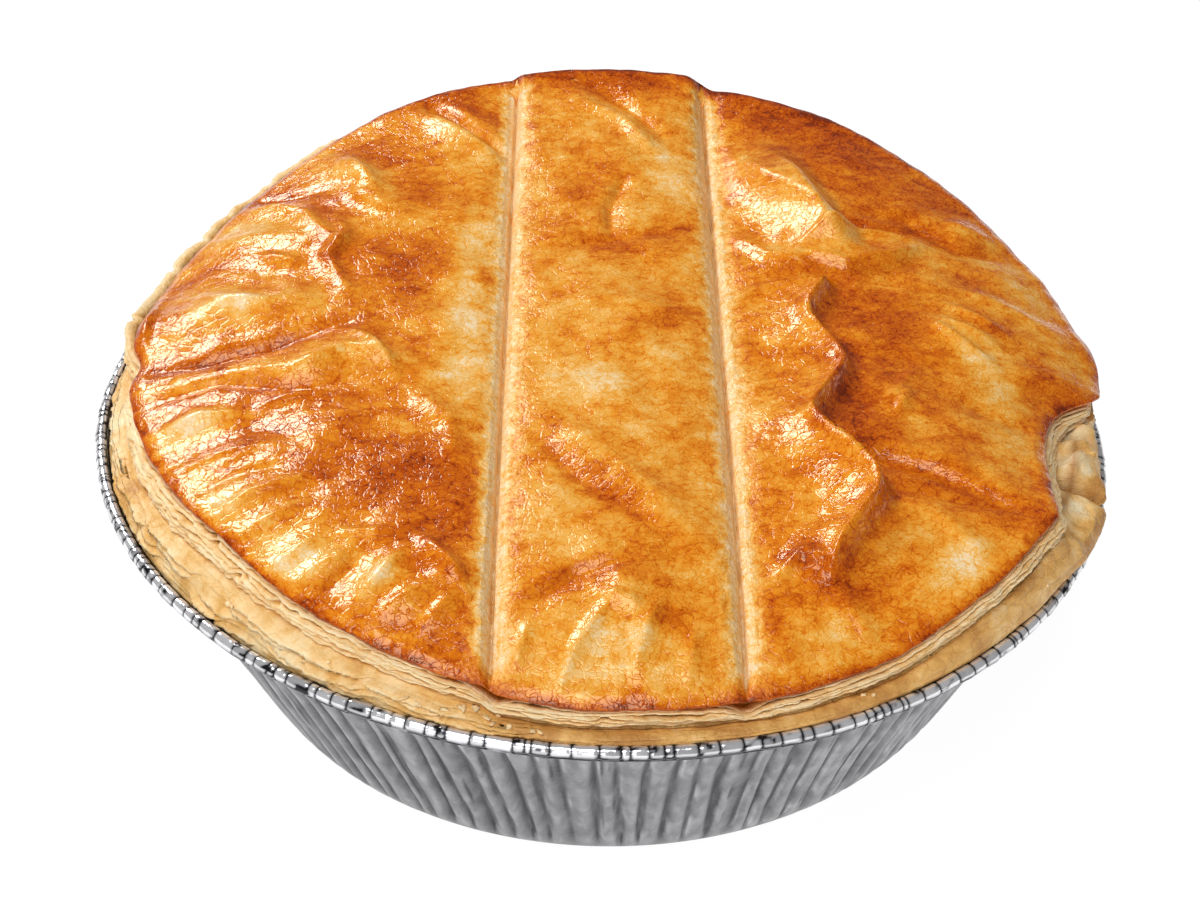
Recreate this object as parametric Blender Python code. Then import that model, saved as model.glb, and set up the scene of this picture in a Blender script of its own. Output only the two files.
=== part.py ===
"""Chicken pot pie in its own foil tin.

A fluted foil tin with a rolled rim holds a pastry case that is full of filling. A puffed lid
with two score grooves lies on the case. Metres, +Z up: the tin stands on Z = 0 and the centre
of its rim is on the Z axis. A bearing is an angle round the pie in degrees, from the front (-Y)
towards +X.
"""

import functools
import math

import bmesh
import bpy
from mathutils import Matrix

MM = 0.001

# Foil tin
RIM_RADIUS = 62.5 * MM  # outside of the rolled rim
RIM_HEIGHT = 29.8 * MM  # middle of the rolled rim
CURL_RADIUS = 0.65 * MM
FOIL = 0.4 * MM
FOOT_RADIUS = 44.0 * MM  # flat round foot
FOOT_CORNER = (45.7 * MM, 0.5 * MM)  # radius and height on the rounded corner
WALL_FOOT = (46.6 * MM, 1.9 * MM)  # where the wall starts
WALL_MIDDLE = (52.85 * MM, 15.4 * MM)
WALL_HEAD = (59.1 * MM, 28.9 * MM)  # where the wall turns out into the flange
FLUTES = 60
FLUTE_DEPTH = 0.3 * MM  # how far a flute stands out from the plain wall
FOOT_SHIFT = 0.77 * MM  # the foot sits a little to the right of the rim
RIM_LEAN = -0.0395  # the rim falls towards the right

# Pie
PIE_X = 1.2 * MM  # the pie sits a little to the right in the rim
GAP = 0.3 * MM  # room between touching solids
PIE_STEPS = 96

# Browned edge of the lid: bearing, radius and height over the rim in millimetres
LID_EDGE = (
    (-180, 61.0, 17.4),
    (-155, 60.6, 16.5),
    (-130, 60.0, 11.4),
    (-108, 59.6, 8.7),
    (-86, 59.1, 9.1),
    (-70, 57.6, 8.2),
    (-52, 56.8, 9.3),
    (-30, 58.1, 7.3),
    (-8, 59.0, 4.4),
    (28, 58.9, 4.0),
    (46, 58.7, 6.5),
    (61, 58.6, 7.2),
    (94, 60.8, 4.1),
    (115, 60.6, 6.5),
    (135, 60.4, 11.2),
    (157, 60.8, 15.6),
)
EDGE_THICKNESS = ((-90, 3.8), (0, 2.2), (90, 3.6), (180, 9.5))  # bearing, millimetres
LID_THICKNESS = 4.5 * MM
LAYER_BULGE = 0.7 * MM  # the lid's layered side stands out at half its height
LAYER_RADIUS = 59.8 * MM  # the lowest layer keeps near to this where the top draws in
LAYER_PULL = 0.75

# The lid's upper face is a plate that rises to the back, with rounded shoulders
PLATE_HEIGHT = 12.0 * MM  # over the rim, at the middle
PLATE_RISE = 0.0625  # towards the back
PLATE_LEAN = -0.024  # towards the right
PLATE_BOW = 0.77  # curvature across, per metre
SHOULDER_POWER = 6
UNDERSIDE_POWER = 3  # how late the lid's lower face turns down or up to its edge

# Score grooves from the front to the back, with puffed panels between them
LEFT_GROOVE_X = -12.1 * MM
RIGHT_GROOVE_X = 14.6 * MM
RIGHT_GROOVE_SLANT = -0.014
GROOVE_DEPTH = 1.4 * MM
GROOVE_HALF_WIDTH = 1.0 * MM
PANEL_PUFF = 1.2 * MM  # rise of the panels away from the grooves
PUFF_REACH = 6.0 * MM
LEFT_STEP = (0.05, -0.95)  # side panel over the middle one: half-way, and change to the rim
RIGHT_STEP = (-1.15, -0.85)
STEP_REACH = 15.0  # how far a step runs on into the side panel, in millimetres

# Blister on the right panel: its steep right side goes through these places, in millimetres
BLISTER_EDGE = (
    (25.0, -44.0),
    (26.5, -38.0),
    (31.5, -29.0),
    (24.8, -16.0),
    (29.2, -5.0),
    (25.6, 5.0),
    (29.0, 14.0),
)
BLISTER_HEIGHT = 2.0 * MM
BLISTER_FALL = 3.5 * MM  # width of the steep side
BLISTER_RISE = 9.0 * MM  # width of the soft side
BLISTER_FADE = (6.0 * MM, 4.0 * MM)  # at the front end and the back end

# Folds in the lid: start and end (x, y), height and half width, in millimetres
FOLDS = (
    ((19.0, 15.0), (40.0, 22.0), 1.3, 3.0),
    ((19.0, 23.0), (26.0, 42.0), 1.0, 3.5),
    ((-13.0, 42.0), (-26.0, 53.0), 0.9, 3.0),
    ((-28.0, 29.0), (-38.0, 43.0), 0.9, 3.0),
    ((-36.0, 20.0), (-56.0, 27.0), 1.2, 3.5),
    ((-34.0, 7.0), (-57.0, 6.0), 1.0, 3.0),
    ((-25.0, -6.0), (-54.0, -9.0), 1.1, 3.0),
    ((-28.0, -16.0), (-48.0, -30.0), 0.9, 3.0),
    ((-15.0, -42.0), (-24.0, -50.0), 0.8, 2.5),
    ((0.0, -38.0), (5.0, -52.0), 0.8, 2.5),
)

# Notch at the right, where the lid is drawn in and the case shows
NOTCH_START = 60.5
NOTCH_END = 89.0
NOTCH_DEPTH = 6.2 * MM
NOTCH_SKEW = 0.9  # below 1 it is deeper towards its start
NOTCH_SQUARENESS = 0.75  # below 1 its sides are steeper than a sine's
CRACK_BEARING = 73.5  # radial crack in the case, inside the notch
CRACK_SIZE = (0.9 * MM, 5.0 * MM, 6.0 * MM)  # across, along the radius, upright
CRACK_RADIUS = 60.5 * MM
CRACK_FOOT = 1.3 * MM  # over the rim

# Rolled lip of the lid at the left, which ends in a nick
LIP_BEARING = -96.0
LIP_WIDTH = 6.0
LIP_RISE = 1.0 * MM
NICK_BEARING = -88.0
NICK_WIDTH = 3.0
NICK_DEPTH = 1.4 * MM

# Band of the case that shows between the rim and the lid: bearing and radius in millimetres
CASE_BAND = (
    (-180, 61.2),
    (-140, 61.3),
    (-100, 61.5),
    (-75, 61.4),
    (-50, 60.9),
    (-20, 60.6),
    (20, 60.6),
    (45, 60.9),
    (67, 61.9),
    (84, 60.9),
    (110, 60.9),
    (145, 61.1),
)
BAND_FOOT = (60.3 * MM, RIM_HEIGHT + 0.15 * MM)  # radius and height, just over the flange
BAND_CLEAR = 1.5 * MM  # the band is widest this far over the rim, clear of the curl
BAND_LIFT = 0.3  # and this share of the rest of its height higher
SHOULDER_OUT = 0.4 * MM  # the case's shoulder stands out from the lid's lowest layer
SHELF_RADIUS = 59.6 * MM  # shoulder of the case inside the notch
SHELF_HEIGHT = 3.2 * MM  # over the rim

FACE_SHARES = (0.0, 0.15, 0.29, 0.42, 0.54, 0.65, 0.75, 0.84, 0.91, 0.96, 1.0)
UNDER_SHARES = (0.0, 0.35, 0.62, 0.82, 0.94, 1.0)

FOIL_COLOUR = (0.60, 0.61, 0.62, 1.0)
CASE_COLOUR = (0.78, 0.58, 0.33, 1.0)
LID_COLOUR = (0.72, 0.34, 0.07, 1.0)


def smooth(value):
    """A soft step from 0 to 1."""
    value = min(1.0, max(0.0, value))
    return value * value * (3.0 - 2.0 * value)


def hump(bearing, middle, width):
    return math.exp(-(((bearing - middle) / width) ** 2))


def between(before, start, end, after, at):
    """Smooth value between the middle two of four neighbouring (place, value) pairs."""
    span = end[0] - start[0]
    share = (at - start[0]) / span
    leaving = (end[1] - before[1]) / (end[0] - before[0]) * span
    arriving = (after[1] - start[1]) / (after[0] - start[0]) * span
    drop = start[1] - end[1]
    cubic = 2.0 * drop + leaving + arriving
    square = -3.0 * drop - 2.0 * leaving - arriving
    return start[1] + share * (leaving + share * (square + share * cubic))


def around(table, column, bearing):
    """Smooth value of one column of a table of bearings that goes once round the pie."""
    points = sorted((row[0], row[column]) for row in table)
    before = [(at - 360, value) for at, value in points[-2:]]
    after = [(at + 360, value) for at, value in points[:2]]
    points = before + points + after
    last = max(i for i in range(1, len(points) - 2) if points[i][0] <= bearing)
    return between(*points[last - 1 : last + 3], bearing)


def along(table, at):
    """Smooth x at a y, on a line through (x, y) places."""
    points = [(y, x) for x, y in table]
    at = min(points[-1][0], max(points[0][0], at))
    step = points[1][0] - points[0][0]
    before = (points[0][0] - step, points[0][1])
    after = (points[-1][0] + step, points[-1][1])
    points = [before] + points + [after]
    last = max(i for i in range(1, len(points) - 2) if points[i][0] <= at)
    return between(*points[last - 1 : last + 3], at)


def place(bearing, radius):
    """World x and y at a bearing and a radius from the middle of the pie."""
    angle = math.radians(bearing)
    return PIE_X + radius * math.sin(angle), -radius * math.cos(angle)


def rim_height(bearing, radius):
    return RIM_HEIGHT + RIM_LEAN * place(bearing, radius)[0]


def groove_x(side, y):
    if side < 0:
        return LEFT_GROOVE_X
    return RIGHT_GROOVE_X + RIGHT_GROOVE_SLANT * y


def panel_step(x, y):
    """Height of the side panels over the middle one, which changes along the grooves."""
    share = y / RIM_RADIUS
    past_left = (groove_x(-1, y) - x) / MM
    past_right = (x - groove_x(1, y)) / MM
    left = (LEFT_STEP[0] + LEFT_STEP[1] * share) * smooth(0.5 + past_left / 2.0)
    right = (RIGHT_STEP[0] + RIGHT_STEP[1] * share) * smooth(0.5 + past_right / 2.0)
    left *= math.exp(-max(0.0, past_left) / STEP_REACH)
    right *= math.exp(-max(0.0, past_right) / STEP_REACH)
    return (left + right) * MM


def notch(bearing):
    """How far the lid's edge is drawn in at the notch, as a share of its depth."""
    share = (bearing - NOTCH_START) / (NOTCH_END - NOTCH_START)
    if not 0.0 < share < 1.0:
        return 0.0
    return math.sin(math.pi * share**NOTCH_SKEW) ** NOTCH_SQUARENESS


def edge_radius(bearing):
    """Radius of the lid's browned edge."""
    radius = around(LID_EDGE, 1, bearing) * MM - NOTCH_DEPTH * notch(bearing)
    return radius - NICK_DEPTH * hump(bearing, NICK_BEARING, NICK_WIDTH)


def edge_height(bearing):
    """Height of the lid's browned edge."""
    step = panel_step(*place(bearing, edge_radius(bearing)))
    lip = LIP_RISE * hump(bearing, LIP_BEARING, LIP_WIDTH)
    return RIM_HEIGHT + around(LID_EDGE, 2, bearing) * MM + step + lip


def layer_radius(bearing):
    """Radius of the lid's lowest layer."""
    plain = around(LID_EDGE, 1, bearing) * MM
    return edge_radius(bearing) + LAYER_PULL * (LAYER_RADIUS - plain)


def blister(x, y):
    """Rise of the blister: soft towards the groove, steep at its wavy right side."""
    first, last = BLISTER_EDGE[0][1] * MM, BLISTER_EDGE[-1][1] * MM
    ends = smooth((y - first) / BLISTER_FADE[0]) * smooth((last - y) / BLISTER_FADE[1])
    steep = 1.0 - smooth((x - along(BLISTER_EDGE, y / MM) * MM) / BLISTER_FALL + 0.5)
    return BLISTER_HEIGHT * ends * steep * smooth((x - groove_x(1, y)) / BLISTER_RISE)


def fold(x, y, start, end, height, half_width):
    """Rise of a soft ridge along a straight line."""
    run_x, run_y = end[0] - start[0], end[1] - start[1]
    from_x, from_y = x / MM - start[0], y / MM - start[1]
    length = math.hypot(run_x, run_y)
    ahead = (from_x * run_x + from_y * run_y) / length
    aside = (from_x * run_y - from_y * run_x) / length
    past = max(0.0, -ahead, ahead - length)
    return height * MM * math.exp(-(aside**2 + past**2) / half_width**2)


def crown(x, y):
    """The lid's upper face without its rounded shoulders and its grooves."""
    height = RIM_HEIGHT + PLATE_HEIGHT + PLATE_RISE * y + PLATE_LEAN * x - PLATE_BOW * x * x
    nearest = min(abs(x - groove_x(-1, y)), abs(x - groove_x(1, y)))
    height += PANEL_PUFF * (1.0 - math.exp(-nearest / PUFF_REACH))
    height += panel_step(x, y) + blister(x, y)
    return height + sum(fold(x, y, *numbers) for numbers in FOLDS)


def groove_cut(x, y):
    """Depth of the V-shaped score grooves."""
    nearest = min(abs(x - groove_x(-1, y)), abs(x - groove_x(1, y)))
    return GROOVE_DEPTH * max(0.0, 1.0 - nearest / GROOVE_HALF_WIDTH)


def lid_height(x, y):
    """Height of the lid's upper face."""
    bearing = math.degrees(math.atan2(x - PIE_X, -y))
    radius = edge_radius(bearing)
    share = min(1.0, math.hypot(x - PIE_X, y) / radius)
    drop = edge_height(bearing) - crown(*place(bearing, radius))
    return crown(x, y) + drop * share**SHOULDER_POWER - groove_cut(x, y)


def lid_top(share, bearing):
    """A point of the lid's upper face, at a share of the way out to its edge."""
    x, y = place(bearing, edge_radius(bearing) * share)
    return x, y, lid_height(x, y)


def lid_side(bearing):
    """A point half-way down the lid's layered side, where it stands out most."""
    radius = (edge_radius(bearing) + layer_radius(bearing)) / 2 + LAYER_BULGE
    height = (edge_height(bearing) + lid_underside(0.0, 1.0, bearing)[2]) / 2
    return *place(bearing, radius), height


def lid_underside(clearance, share, bearing):
    """A point of the lid's smooth lower face, or of the case that much under it."""
    edge = edge_height(bearing) - around(EDGE_THICKNESS, 1, bearing) * MM
    x, y = place(bearing, layer_radius(bearing) * share)
    inner = RIM_HEIGHT + PLATE_HEIGHT - LID_THICKNESS
    inner += PLATE_RISE * y + PLATE_LEAN * x - PLATE_BOW * x * x
    return x, y, inner + (edge - inner) * share**UNDERSIDE_POWER - clearance


def case_shoulder(bearing):
    """A point where the case comes out from under the lid."""
    _, _, top = lid_underside(2.0 * GAP, 1.0, bearing)
    shelf = rim_height(bearing, SHELF_RADIUS) + SHELF_HEIGHT
    drawn_in = min(1.0, 2.0 * notch(bearing))
    radius = layer_radius(bearing) + SHOULDER_OUT
    radius += (SHELF_RADIUS - radius) * drawn_in
    return *place(bearing, radius), top + (min(top, shelf) - top) * drawn_in


def case_band(bearing):
    """A point of the case's widest line."""
    radius = around(CASE_BAND, 1, bearing) * MM
    lowest = rim_height(bearing, radius) + BAND_CLEAR
    _, _, shoulder = case_shoulder(bearing)
    return *place(bearing, radius), lowest + BAND_LIFT * max(0.0, shoulder - lowest)


def tin_point(radius, height, fluted, bearing):
    """A point of the tin, or of what lies against its inside, with the tin's lean."""
    angle = math.radians(bearing)
    if fluted:
        radius += FLUTE_DEPTH * math.cos(FLUTES * angle)
    share = height / RIM_HEIGHT
    x = radius * math.sin(angle)
    return x + FOOT_SHIFT * (1.0 - share), -radius * math.cos(angle), height + RIM_LEAN * x * share


def round_body(rings, steps):
    """A closed body that is round like a ball: its rings go from its top to its underside.

    Each ring is a function from a bearing to a point, and the first and the last are points.
    """
    shape = bmesh.new()
    spans = len(rings) - 1
    bmesh.ops.create_uvsphere(shape, u_segments=steps, v_segments=spans, radius=1.0)
    for vert in shape.verts:
        level = min(1.0, max(-1.0, vert.co.z))
        ring = rings[round(math.acos(level) / math.pi * spans)]
        vert.co = ring(math.degrees(math.atan2(vert.co.x, -vert.co.y)))
    shape.normal_update()
    return shape


def add_part(name, shape, colour, roughness, metallic):
    """Turn a bmesh into a named object with a material of its own."""
    mesh = bpy.data.meshes.new(name)
    shape.to_mesh(mesh)
    shape.free()
    material = bpy.data.materials.new(name)
    material.use_nodes = True
    surface = material.node_tree.nodes["Principled BSDF"]
    surface.inputs["Base Color"].default_value = colour
    surface.inputs["Roughness"].default_value = roughness
    surface.inputs["Metallic"].default_value = metallic
    mesh.materials.append(material)
    part = bpy.data.objects.new(name, mesh)
    parts.objects.link(part)
    return part


def cut(part, name, shape):
    """Cut a closed bmesh out of a part."""
    bmesh.ops.recalc_face_normals(shape, faces=shape.faces)
    mesh = bpy.data.meshes.new(name)
    shape.to_mesh(mesh)
    shape.free()
    cutter = bpy.data.objects.new(name, mesh)
    cutter.hide_render = True
    cutter.display_type = "WIRE"
    cutters.objects.link(cutter)
    modifier = part.modifiers.new(name, "BOOLEAN")
    modifier.operation = "DIFFERENCE"
    modifier.solver = "EXACT"
    modifier.object = cutter


def score(shape):
    """Give the lid's upper face its score grooves: a row of edges along each lip and tip."""
    for side in (-1, 1):
        slant = (groove_x(side, RIM_RADIUS) - groove_x(side, 0.0)) / RIM_RADIUS
        for offset in (-GROOVE_HALF_WIDTH, 0.0, GROOVE_HALF_WIDTH):
            upper = [face for face in shape.faces if face.normal.z > 0.0]
            edges = {edge for face in upper for edge in face.edges}
            verts = {vert for face in upper for vert in face.verts}
            bmesh.ops.bisect_plane(
                shape,
                geom=upper + list(edges) + list(verts),
                dist=0.01 * MM,
                plane_co=(groove_x(side, 0.0) + offset, 0.0, 0.0),
                plane_no=(1.0, -slant, 0.0),
            )
            shape.normal_update()
    for vert in shape.verts:
        x, y = vert.co.xy
        bearing = math.degrees(math.atan2(x - PIE_X, -y))
        faces_up = max(face.normal.z for face in vert.link_faces) > 0.0
        if faces_up and math.hypot(x - PIE_X, y) < edge_radius(bearing) + 0.01 * MM:
            vert.co.z = lid_height(x, y)


def crack_bar():
    """An upright bar across the case's band, at the crack."""
    bar = bmesh.new()
    bmesh.ops.create_cube(bar, size=1.0)
    bmesh.ops.scale(bar, vec=CRACK_SIZE, verts=bar.verts)
    angle = math.radians(CRACK_BEARING)
    turn = Matrix.Rotation(angle, 3, "Z")
    bmesh.ops.rotate(bar, cent=(0.0, 0.0, 0.0), matrix=turn, verts=bar.verts)
    foot = rim_height(CRACK_BEARING, CRACK_RADIUS) + CRACK_FOOT
    x, y = place(CRACK_BEARING, CRACK_RADIUS)
    bmesh.ops.translate(bar, vec=(x, y, foot + CRACK_SIZE[2] / 2), verts=bar.verts)
    return bar


def foil_tin():
    """Foil shell in one piece: flat foot, fluted wall, flange and rolled rim."""
    outside = [(0.0, 0.0), (FOOT_RADIUS, 0.0), FOOT_CORNER, WALL_FOOT, WALL_MIDDLE, WALL_HEAD]
    inside = [(max(0.0, radius - FOIL), height + FOIL) for radius, height in outside]
    curl_middle = RIM_RADIUS - CURL_RADIUS
    curl = [(curl_middle - CURL_RADIUS, WALL_HEAD[1] + FOIL)]
    for degrees in (125, 65, 5, -55, -115):
        x = curl_middle + CURL_RADIUS * math.cos(math.radians(degrees))
        curl.append((x, RIM_HEIGHT + CURL_RADIUS * math.sin(math.radians(degrees))))
    fluted = (WALL_FOOT, WALL_MIDDLE, inside[3], inside[4])
    profile = inside + curl + outside[::-1]
    rings = [functools.partial(tin_point, *point, point in fluted) for point in profile]
    add_part("foil_tin", round_body(rings, FLUTES * 2), FOIL_COLOUR, 0.35, 1.0)


def pastry_case():
    """Base crust and its filling as one solid, which fills the tin up to the lid."""
    top = [functools.partial(lid_underside, GAP, share) for share in UNDER_SHARES]
    band = [case_shoulder, case_band]
    room = FOIL + FLUTE_DEPTH + GAP
    seat = [
        BAND_FOOT,
        (WALL_HEAD[0] - room, WALL_HEAD[1] + FOIL + GAP),
        (WALL_FOOT[0] - room, WALL_FOOT[1] + FOIL + GAP),
        (FOOT_RADIUS - room, FOIL + GAP),
        (0.0, FOIL + GAP),
    ]
    wall = [functools.partial(tin_point, radius, height, False) for radius, height in seat]
    case = add_part("pastry_case", round_body(top + band + wall, PIE_STEPS), CASE_COLOUR, 0.7, 0.0)
    cut(case, "crack", crack_bar())


def pastry_lid():
    """Puffed lid: glazed upper face, layered side and smooth underside, with score grooves."""
    face = [functools.partial(lid_top, share) for share in FACE_SHARES]
    under = [functools.partial(lid_underside, 0.0, share) for share in reversed(UNDER_SHARES)]
    shape = round_body(face + [lid_side] + under, PIE_STEPS)
    score(shape)
    add_part("pastry_lid", shape, LID_COLOUR, 0.3, 0.0)


def new_collection(name):
    collection = bpy.data.collections.new(name)
    bpy.context.scene.collection.children.link(collection)
    return collection


for item in list(bpy.data.objects):
    bpy.data.objects.remove(item)
parts = new_collection("chicken_pot_pie")
cutters = new_collection("cutters")
foil_tin()
pastry_case()
pastry_lid()
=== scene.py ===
"""Looks of a chicken pot pie in its own foil tin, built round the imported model.

Lengths are in millimetres until a mesh is written, which is in metres. A bearing is an angle
round the pie in degrees, from the front (-Y) towards the right (+X). Every surface is a mesh
whose points are placed by functions of the bearing or of the place on the lid.
"""

import itertools
import math

import bmesh
import bpy
import numpy as np
from mathutils import Matrix, Vector


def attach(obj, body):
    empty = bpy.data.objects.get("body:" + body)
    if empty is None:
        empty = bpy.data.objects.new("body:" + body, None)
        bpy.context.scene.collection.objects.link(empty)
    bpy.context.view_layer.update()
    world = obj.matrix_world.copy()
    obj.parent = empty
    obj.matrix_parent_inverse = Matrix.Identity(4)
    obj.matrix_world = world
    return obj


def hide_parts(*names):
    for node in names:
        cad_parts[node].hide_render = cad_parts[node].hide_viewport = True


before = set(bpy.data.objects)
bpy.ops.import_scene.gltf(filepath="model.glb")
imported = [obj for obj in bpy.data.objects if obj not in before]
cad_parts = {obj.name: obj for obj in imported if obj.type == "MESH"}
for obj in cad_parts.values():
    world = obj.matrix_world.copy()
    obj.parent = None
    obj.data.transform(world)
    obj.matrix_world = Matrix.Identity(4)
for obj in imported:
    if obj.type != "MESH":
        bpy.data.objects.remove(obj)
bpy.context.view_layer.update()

# ---------------------------------------------------------------------------------------------
# Camera. A long lens looks down on the front of the pie from a little over half a right angle
# off the vertical, so that the whole lid and the front of the tin show.
# ---------------------------------------------------------------------------------------------

CAMERA_PLACE = (0.0, -0.2670, 0.2160)
CAMERA_PITCH = 0.6207
CAMERA_TURN = -0.0014
CAMERA_LENS = 78.0
SENSOR_WIDTH = 36.0

camera = bpy.data.objects.new("camera", bpy.data.cameras.new("camera"))
bpy.context.scene.collection.objects.link(camera)
camera.data.lens = CAMERA_LENS
camera.data.sensor_width = SENSOR_WIDTH
camera.data.clip_start = 0.01
looking = Vector(
    (
        math.sin(CAMERA_TURN) * math.cos(CAMERA_PITCH),
        math.cos(CAMERA_TURN) * math.cos(CAMERA_PITCH),
        -math.sin(CAMERA_PITCH),
    )
)
sideways = Vector((math.cos(CAMERA_TURN), -math.sin(CAMERA_TURN), 0.0))
upwards = sideways.cross(looking)
camera.location = CAMERA_PLACE
camera.rotation_euler = Matrix((sideways, upwards, -looking)).transposed().to_euler()
bpy.context.scene.camera = camera

# ---------------------------------------------------------------------------------------------
# Foil tin. One sheet of aluminium foil is pressed into a dish, so its wall gathers in upright
# pleats. The edge is rolled outwards into a bright bead, which the pleats cross as creases.
# ---------------------------------------------------------------------------------------------

MM = 0.001
RIM_RADIUS = 62.5
RIM_HEIGHT = 29.8
ROLL_RADIUS = 0.8
FOIL = 0.35
WALL_FOOT = (46.6, 1.9)
WALL_HEAD = (59.1, 28.9)
FOOT_SHIFT = 0.77
RIM_LEAN = -0.0395
PLEATS = 118
TIN_STEPS = 1180
WALL_RINGS = 22
INSIDE_RINGS = 9
FLAT_FOOT = 44.5
INSIDE_LIFT = 0.1
PLEATS_START = 0.5
PLEATS_END = 28.2
CREASE_HALF_WIDTH = 0.16
# Rings of the tin's section, as radius and height
FOOT_RINGS = (
    (0.0, 0.25), (14.0, 0.25), (28.0, 0.25), (37.6, 0.25), (38.6, 0.2), (39.6, 0.04),
    (40.4, 0.0), (44.0, 0.0), (44.9, 0.12), (45.6, 0.45), (46.1, 1.0),
)
FLANGE_UNDER = ((59.35, 28.85), (60.4, 28.95), (61.3, 28.85))
ROLL_LIP = ((61.75, 28.75), (61.98, 28.82), (62.02, 28.96), (61.85, 29.08))
FLANGE_OVER = ((60.9, 29.5), (60.3, 29.35), (59.2, 29.2))
INNER_FLOOR = ((44.2, 0.65), (40.0, 0.6), (20.0, 0.6), (0.0, 0.6))
# Turns round the rolled edge in degrees: 0 faces out and 90 faces up
ROLL_TURN = (-68, -48, -28, -8, 12, 32, 52, 72, 92, 112, 132, 152)
LIP_TURN = -110.0
UNDER_TURN = 2.0
OVER_TURN = 118.0
OFF_ROLL = 200.0

# Painted light on the foil wall, which is painted darker than the bead as painted shade: from a
# painted highlight on the crests of its pleats, past its plain face, to painted shade in its
# valleys and sharp creases
FOIL_STOPS = (
    (0.0, (0.55, 0.55, 0.57, 1.0)),
    (0.3, (0.24, 0.24, 0.25, 1.0)),
    (0.6, (0.08, 0.08, 0.085, 1.0)),
    (1.0, (0.03, 0.03, 0.035, 1.0)),
)
PLAIN_FACE = 0.3
# The bead's colours: a painted bright reflection, and painted shade for its creases, underside,
# flange and dark patches
FOIL_BRIGHT = (0.96, 0.96, 0.99, 1.0)
FOIL_ROLL_SHADE = (0.02, 0.02, 0.025, 1.0)


def smooth(value):
    """A soft step from 0 to 1."""
    value = np.clip(value, 0.0, 1.0)
    return value * value * (3.0 - 2.0 * value)


def hump(value, middle, width):
    """A soft bump of height 1."""
    return np.exp(-(((value - middle) / width) ** 2))


def lumps(points, size, seed):
    """Smooth random heights from about -1 to 1, in lumps of a size, the same on every run."""
    rng = np.random.default_rng(seed)
    order = rng.permutation(256)
    slopes = rng.normal(size=(256, 3))
    slopes /= np.linalg.norm(slopes, axis=1)[:, None]
    spot = points / np.asarray(size, float)
    cell = np.floor(spot).astype(int)
    inside = spot - cell
    soft = inside**3 * (inside * (inside * 6.0 - 15.0) + 10.0)
    total = np.zeros(len(points))
    for corner in itertools.product((0, 1), repeat=3):
        x, y, z = (cell + corner).T
        pick = order[(order[(order[x & 255] + y) & 255] + z) & 255]
        lean = (slopes[pick] * (inside - corner)).sum(axis=1)
        total += lean * np.where(corner, soft, 1.0 - soft).prod(axis=1)
    return 1.6 * total


def ring_spots(bearing, radius, height):
    """Points at bearings round the Z axis."""
    angle = np.radians(bearing)
    height = np.broadcast_to(height, angle.shape)
    return np.stack((radius * np.sin(angle), -radius * np.cos(angle), height), axis=1)


def rough(points, *lots):
    """Lumps on lumps: each lot is a height, a size and a seed."""
    return sum(height * lumps(points, size, seed) for height, size, seed in lots)


def ripple(bearing, width, seed):
    """Smooth random values round the pie, in waves of a width at the rim."""
    return lumps(ring_spots(bearing, 60.0, 0.0), width, seed)


def ripples(bearing, *lots):
    """Waves on waves: each lot is a height, a width and a seed."""
    return sum(height * ripple(bearing, width, seed) for height, width, seed in lots)


def flat_spots(x, y):
    """Points of a flat sheet."""
    return np.stack((x, y, 0.0 * x), axis=1)


def wrapped(name, steps, rings, place):
    """A closed skin round the pie: a grid whose columns go round and whose rows are rings.

    place turns bearings and ring numbers into points, and into named values for the material.
    """
    shape = bmesh.new()
    bmesh.ops.create_grid(shape, x_segments=steps, y_segments=rings - 1, size=1.0)
    flat = np.array([vert.co[:] for vert in shape.verts])
    ring = np.rint((flat[:, 1] + 1.0) / 2.0 * (rings - 1)).astype(int)
    points, values = place(flat[:, 0] * 180.0, ring)
    for vert, point in zip(shape.verts, points):
        vert.co = point * MM
    carry(shape, values)
    bmesh.ops.remove_doubles(shape, verts=shape.verts, dist=0.0005 * MM)
    bmesh.ops.recalc_face_normals(shape, faces=shape.faces)
    return finished(name, shape)


def carry(shape, values):
    """Give a mesh's points named values for the material."""
    for key, column in values.items():
        layer = shape.verts.layers.float.new(key)
        for vert, value in zip(shape.verts, column):
            vert[layer] = value


def finished(name, shape):
    """Turn a bmesh into a smooth-shaded object."""
    for face in shape.faces:
        face.smooth = True
    mesh = bpy.data.meshes.new(name)
    shape.to_mesh(mesh)
    shape.free()
    piece = bpy.data.objects.new(name, mesh)
    bpy.context.scene.collection.objects.link(piece)
    return piece


def lean_with_tin(points):
    """Shift the foot and tip the rim of points that are round the Z axis."""
    share = points[:, 2] / RIM_HEIGHT
    leant = points.copy()
    leant[:, 0] += FOOT_SHIFT * (1.0 - share)
    leant[:, 2] += RIM_LEAN * points[:, 0] * share
    return leant


# Each pleat has a depth, a width, a lean, a top and a second crease of its own
pleat_rng = np.random.default_rng(5)
pleat_depth = pleat_rng.uniform(0.3, 1.0, PLEATS)
pleat_width = pleat_rng.uniform(0.7, 1.25, PLEATS)
pleat_lean = pleat_rng.uniform(-0.16, 0.16, PLEATS)
pleat_top = pleat_rng.uniform(25.2, 28.4, PLEATS)
pleat_second = pleat_rng.uniform(-0.38, 0.38, PLEATS)


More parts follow.
